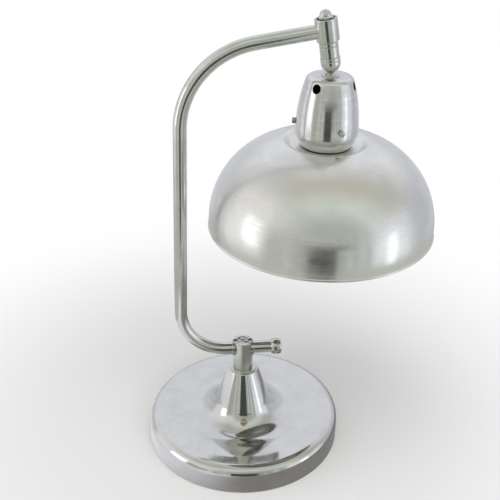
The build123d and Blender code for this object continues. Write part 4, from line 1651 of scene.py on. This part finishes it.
    def bulb(self) -> None:
        """Frosted bulb: neck, flare and globe, with a wall that follows the outer line inside."""
        reach = self.bulb_radius + self.bulb_flare
        turn = acos((self.bulb_neck + self.bulb_flare) / reach)
        middle = self.bulb_shoulder - sin(turn) * reach
        flare_centre = (self.bulb_neck + self.bulb_flare, self.bulb_shoulder)
        outer = np.concatenate(
            [
                [(self.bulb_neck, self.bulb_top)],
                arc_line(flare_centre, self.bulb_flare, 180.0, 180.0 + degrees(turn), 20),
                arc_line((0.0, middle), self.bulb_radius, degrees(turn), -90.0, 48)[1:],
            ]
        )
        outer[-1, 0] = 0.0
        inner = outer[::-1]
        away = np.stack([np.gradient(inner[:, 1]), -np.gradient(inner[:, 0])], axis=1)
        away /= np.linalg.norm(away, axis=1, keepdims=True)
        inner = inner - self.bulb_wall * away
        inner[0, 0] = 0.0
        inner[-1] = (self.bulb_neck - self.bulb_wall, self.bulb_top)
        line = np.concatenate([outer[::-1], inner[::-1]])
        fitted("pearl_bulb", turned(line, self.seat(), 128), GLASS, "bulb_glass")


def posed(across: Array | Point, up: Array | Point, back: Array | Point, at: Array | Point) -> Matrix:
    """Matrix of an object from its three directions and its place."""
    return Matrix([[*row, spot] for row, spot in zip(zip(across, up, back), at)] + [[0, 0, 0, 1]])


@dataclass
class Studio:
    """Pale floor, soft lights, cards that the metal reflects, and the camera."""

    focal: float = 60.70
    eye: Point = (-0.04658, -0.67533, 0.58985)
    right: Point = (0.9969, -0.0791, 0.0)
    up: Point = (0.0388, 0.4883, 0.8718)
    back: Point = (-0.0690, -0.8691, 0.4898)
    sensor: float = 36.0
    nearest: float = 0.05
    farthest: float = 30.0
    target: Point = (0.0, 0.0, 0.2)
    floor_span: float = 12.0
    shadow_fades: tuple[float, float] = (0.15, 0.5)
    left_fades: tuple[float, float] = (-0.85, -0.4)
    ground_fades: tuple[float, float] = (-0.5, -0.28)
    ceiling_fades: tuple[float, float] = (0.2, 0.5)
    wood_fades: tuple[float, float] = (0.28, 0.5)
    even_light: float = 0.6
    pale: Colour = (0.87, 0.87, 0.865)
    white: Colour = (1.0, 1.0, 1.0)
    ground: Colour = (0.54, 0.56, 0.52)
    left: Colour = (0.93, 0.92, 0.91)
    grey: Colour = (0.14, 0.145, 0.135)
    dark: Colour = (0.08, 0.08, 0.075)
    wood: Colour = (0.29, 0.27, 0.265)
    pale_wood: Colour = (0.86, 0.87, 0.91)
    walls: Bands = (
        (-150.0, (0.7, 0.71, 0.76)),
        (-122.0, (0.66, 0.67, 0.72)),
        (-114.0, (0.95, 0.95, 0.96)),
        (-70.0, (0.92, 0.92, 0.91)),
        (-64.0, (0.46, 0.47, 0.43)),
        (-44.0, (0.54, 0.56, 0.51)),
        (-40.0, (0.8, 0.77, 0.7)),
        (-35.0, (0.46, 0.48, 0.44)),
        (-26.0, (0.62, 0.65, 0.6)),
        (10.0, (0.5, 0.52, 0.49)),
        (17.0, (0.46, 0.49, 0.46)),
        (20.0, (0.8, 0.84, 0.81)),
        (24.0, (0.34, 0.36, 0.33)),
        (31.0, (0.7, 0.74, 0.72)),
        (38.0, (0.4, 0.42, 0.41)),
        (46.0, (0.92, 0.95, 1.0)),
        (86.0, (0.9, 0.94, 1.0)),
        (95.0, (0.58, 0.59, 0.65)),
        (150.0, (0.7, 0.71, 0.77)),
    )
    ceiling: Bands = (
        (-1.0, (0.4, 0.42, 0.38)),
        (-0.8, (0.5, 0.54, 0.49)),
        (-0.57, (0.76, 0.83, 0.75)),
        (-0.4, (0.69, 0.73, 0.66)),
        (-0.2, (0.58, 0.57, 0.5)),
        (0.05, (0.57, 0.56, 0.5)),
        (0.4, (0.8, 0.81, 0.84)),
        (0.7, (0.88, 0.9, 0.95)),
    )

    def build(self) -> None:
        """Set camera, floor, world, lights and cards."""
        self.camera()
        self.floor()
        self.world()
        self.window("left_window", (-77.0, 5.0, 1.5), (0.55, 0.8), 1.2, (0.97, 0.99, 1.0))
        self.window("right_window", (63.0, -7.0, 1.5), (0.26, 0.8), 0.42, (0.92, 1.0, 0.98))
        panel = self.window("top_panel", (-20.0, 72.0, 1.7), (1.1, 1.1), 8.0, self.white)
        fill = self.window("fill_panel", (35.0, 40.0, 1.7), (1.4, 1.4), 8.0, self.white)
        panel.visible_glossy = fill.visible_glossy = False
        self.card("shelf", (0.05, -1.72, 0.42), (1.5, 0.0, 0.0), (0.0, 0.0, 0.12), self.grey)
        self.card("curtain", (-0.05, -0.9, 0.04), (0.44, 0.0, 0.0), (0.0, 0.0, 0.62), self.dark)
        size = (0.44, 0.0, 0.0), (0.0, 0.52, 0.0)
        self.card("table", (0.0, 0.0, 0.0009), *size, self.pale_wood, self.wood)
        bpy.context.scene.view_settings.view_transform = "Standard"

    def camera(self) -> None:
        """Camera at the photograph's view."""
        data = bpy.data.cameras.new("camera")
        data.lens = self.focal
        data.sensor_width = self.sensor
        data.clip_start, data.clip_end = self.nearest, self.farthest
        camera = bpy.data.objects.new("camera", data)
        camera.matrix_world = posed(self.right, self.up, self.back, self.eye)
        bpy.context.scene.collection.objects.link(camera)
        bpy.context.scene.camera = camera

    def sheet(self, name: str, middle: Point, across: Point, up: Point) -> tuple[bpy.types.Object, Bench]:
        """Flat sheet of the stage with a material of its own.

        Args:
            name: Name of the sheet.
            middle: Its centre in metres.
            across: Its width as a vector.
            up: Its height as a vector.

        Returns:
            The sheet and the bench of its material.
        """
        at, wide, tall = (np.asarray(v, float) for v in (middle, across, up))
        corners = [tuple(at + wide * s / 2 + tall * t / 2) for s, t in ((-1, -1), (1, -1), (1, 1), (-1, 1))]
        mesh = bpy.data.meshes.new(name)
        mesh.from_pydata(corners, [], [(0, 1, 2, 3)])
        material, bench = blank(name)
        mesh.materials.append(material)
        sheet = bpy.data.objects.new(name, mesh)
        bpy.context.scene.collection.objects.link(sheet)
        return sheet, bench

    def floor(self) -> None:
        """Pale floor that turns to white away from the lamp and keeps its shadow near it."""
        span = self.floor_span
        floor, bench = self.sheet("floor", (0.0, 0.0, 0.0), (span, 0.0, 0.0), (0.0, span, 0.0))
        floor.data.materials[0].name = "pale_floor"
        floor.visible_glossy = False
        far = bench.value("VectorMath", {0: bench.place()}, operation="LENGTH")
        path = bench.add("LightPath", {}).outputs
        seen = bench.sums("MAXIMUM", path["Is Camera Ray"], path["Is Glossy Ray"])
        seen = bench.sums("MAXIMUM", seen, path["Is Transmission Ray"])
        share = bench.sums("MULTIPLY", bench.ranged(far, *self.shadow_fades), seen)
        pale = bench.dress(Base_Color=(*self.pale, 1.0), Roughness=0.9, Specular_IOR_Level=0.0)
        glow = bench.value("Emission", {"Strength": 1.0})
        bench.show(bench.value("MixShader", {0: share, 1: pale, 2: glow}))

    def world(self) -> None:
        """White backdrop, even light from all round, and the room that the metal reflects."""
        world = bpy.data.worlds.new("studio")
        bpy.context.scene.world = world
        world.use_nodes = True
        bench = Bench(world.node_tree)
        path = bench.add("LightPath", {}).outputs
        white = (*self.white, 1.0)
        plain = bench.value("Background", {"Color": white, "Strength": 1.0})
        even = bench.value("Background", {"Color": white, "Strength": self.even_light})
        room = bench.value("Background", {"Color": self.room(bench), "Strength": 1.0})
        metal = bench.sums("MAXIMUM", path["Is Glossy Ray"], path["Is Transmission Ray"])
        lit = bench.value("MixShader", {0: metal, 1: even, 2: room})
        bench.show(bench.value("MixShader", {0: path["Is Camera Ray"], 1: lit, 2: plain}))

    def room(self, bench: Bench) -> Socket:
        """Walls by their bearing, with a paler floor below them and the ceiling above.

        Args:
            bench: Bench of the world.

        Returns:
            The room's colour.
        """
        way = bench.add("TexCoord", {}).outputs["Generated"]
        x, y, z = bench.add("SeparateXYZ", {"Vector": way}).outputs
        bearing = bench.sums("ARCTAN2", x, bench.sums("MULTIPLY", y, -1.0))
        walls = bench.banded(bearing, pi, self.walls, 180.0)
        ceiling = bench.banded(y, 1.0, self.ceiling, 1.0)
        above = bench.mixed(bench.ranged(x, *self.left_fades), self.left, ceiling)
        low = bench.mixed(bench.ranged(z, *self.ground_fades), self.ground, walls)
        return bench.mixed(bench.ranged(z, *self.ceiling_fades), low, above)

    def window(
        self, name: str, place: Point, size: tuple[float, float], power: float, colour: Colour
    ) -> bpy.types.Object:
        """Soft rectangular light that faces the lamp.

        Args:
            name: Name of the light.
            place: Degrees to the right of straight in front, degrees above the lamp's middle, and metres.
            size: Width and height in metres.
            power: Power in watts.
            colour: Colour of the light.

        Returns:
            The light.
        """
        data = bpy.data.lights.new(name, "AREA")
        data.shape = "RECTANGLE"
        data.size, data.size_y = size
        data.energy = power
        data.color = colour
        light = bpy.data.objects.new(name, data)
        turn, lift, far = radians(place[0]), radians(place[1]), place[2]
        back = np.array([sin(turn) * cos(lift), -cos(turn) * cos(lift), sin(lift)])
        across = np.array([cos(turn), sin(turn), 0.0])
        light.matrix_world = posed(across, np.cross(back, across), back, np.array(self.target) + back * far)
        light.visible_camera = False
        bpy.context.scene.collection.objects.link(light)
        return light

    def card(
        self, name: str, middle: Point, across: Point, up: Point, left: Colour, right: Colour | None = None
    ) -> None:
        """Card that only the metal sees.

        Args:
            name: Name of the card.
            middle: Its centre in metres.
            across: Its width as a vector.
            up: Its height as a vector.
            left: Colour of the card, or of its left where it has two.
            right: Colour that it shows from its middle to the right.
        """
        card, bench = self.sheet(name, middle, across, up)
        tone = (*left, 1.0)
        if right is not None:
            x = bench.add("SeparateXYZ", {"Vector": bench.place()}).outputs["X"]
            edge = middle[0] - across[0] / 2
            start, end = (edge + across[0] * part for part in self.wood_fades)
            tone = bench.mixed(bench.ranged(x, start, end), left, right)
        bench.show(bench.value("Emission", {"Color": tone}))
        for ray in Hidden:
            setattr(card, ray.value, False)


def dress_solids() -> None:
    """Give each solid that is still shown the finish of its slot."""
    for name, solid in frame["nodes"].items():
        if not solid.hide_render:
            finish = BY_SLOT[solid.data.materials[0].name]
            solid.data.materials[0] = finish.material()
            log.info("%s: %s", name, finish.name)


def main() -> None:
    """Build the studio and the lamp, piece by piece."""
    logging.basicConfig(level=logging.INFO, format="%(message)s")
    for unit in (Studio(), Base(), Post(), Arm(), Knuckle(), Shade()):
        unit.build()
        log.info("%s done", type(unit).__name__)
    dress_solids()


if __name__ == "__main__":
    main()
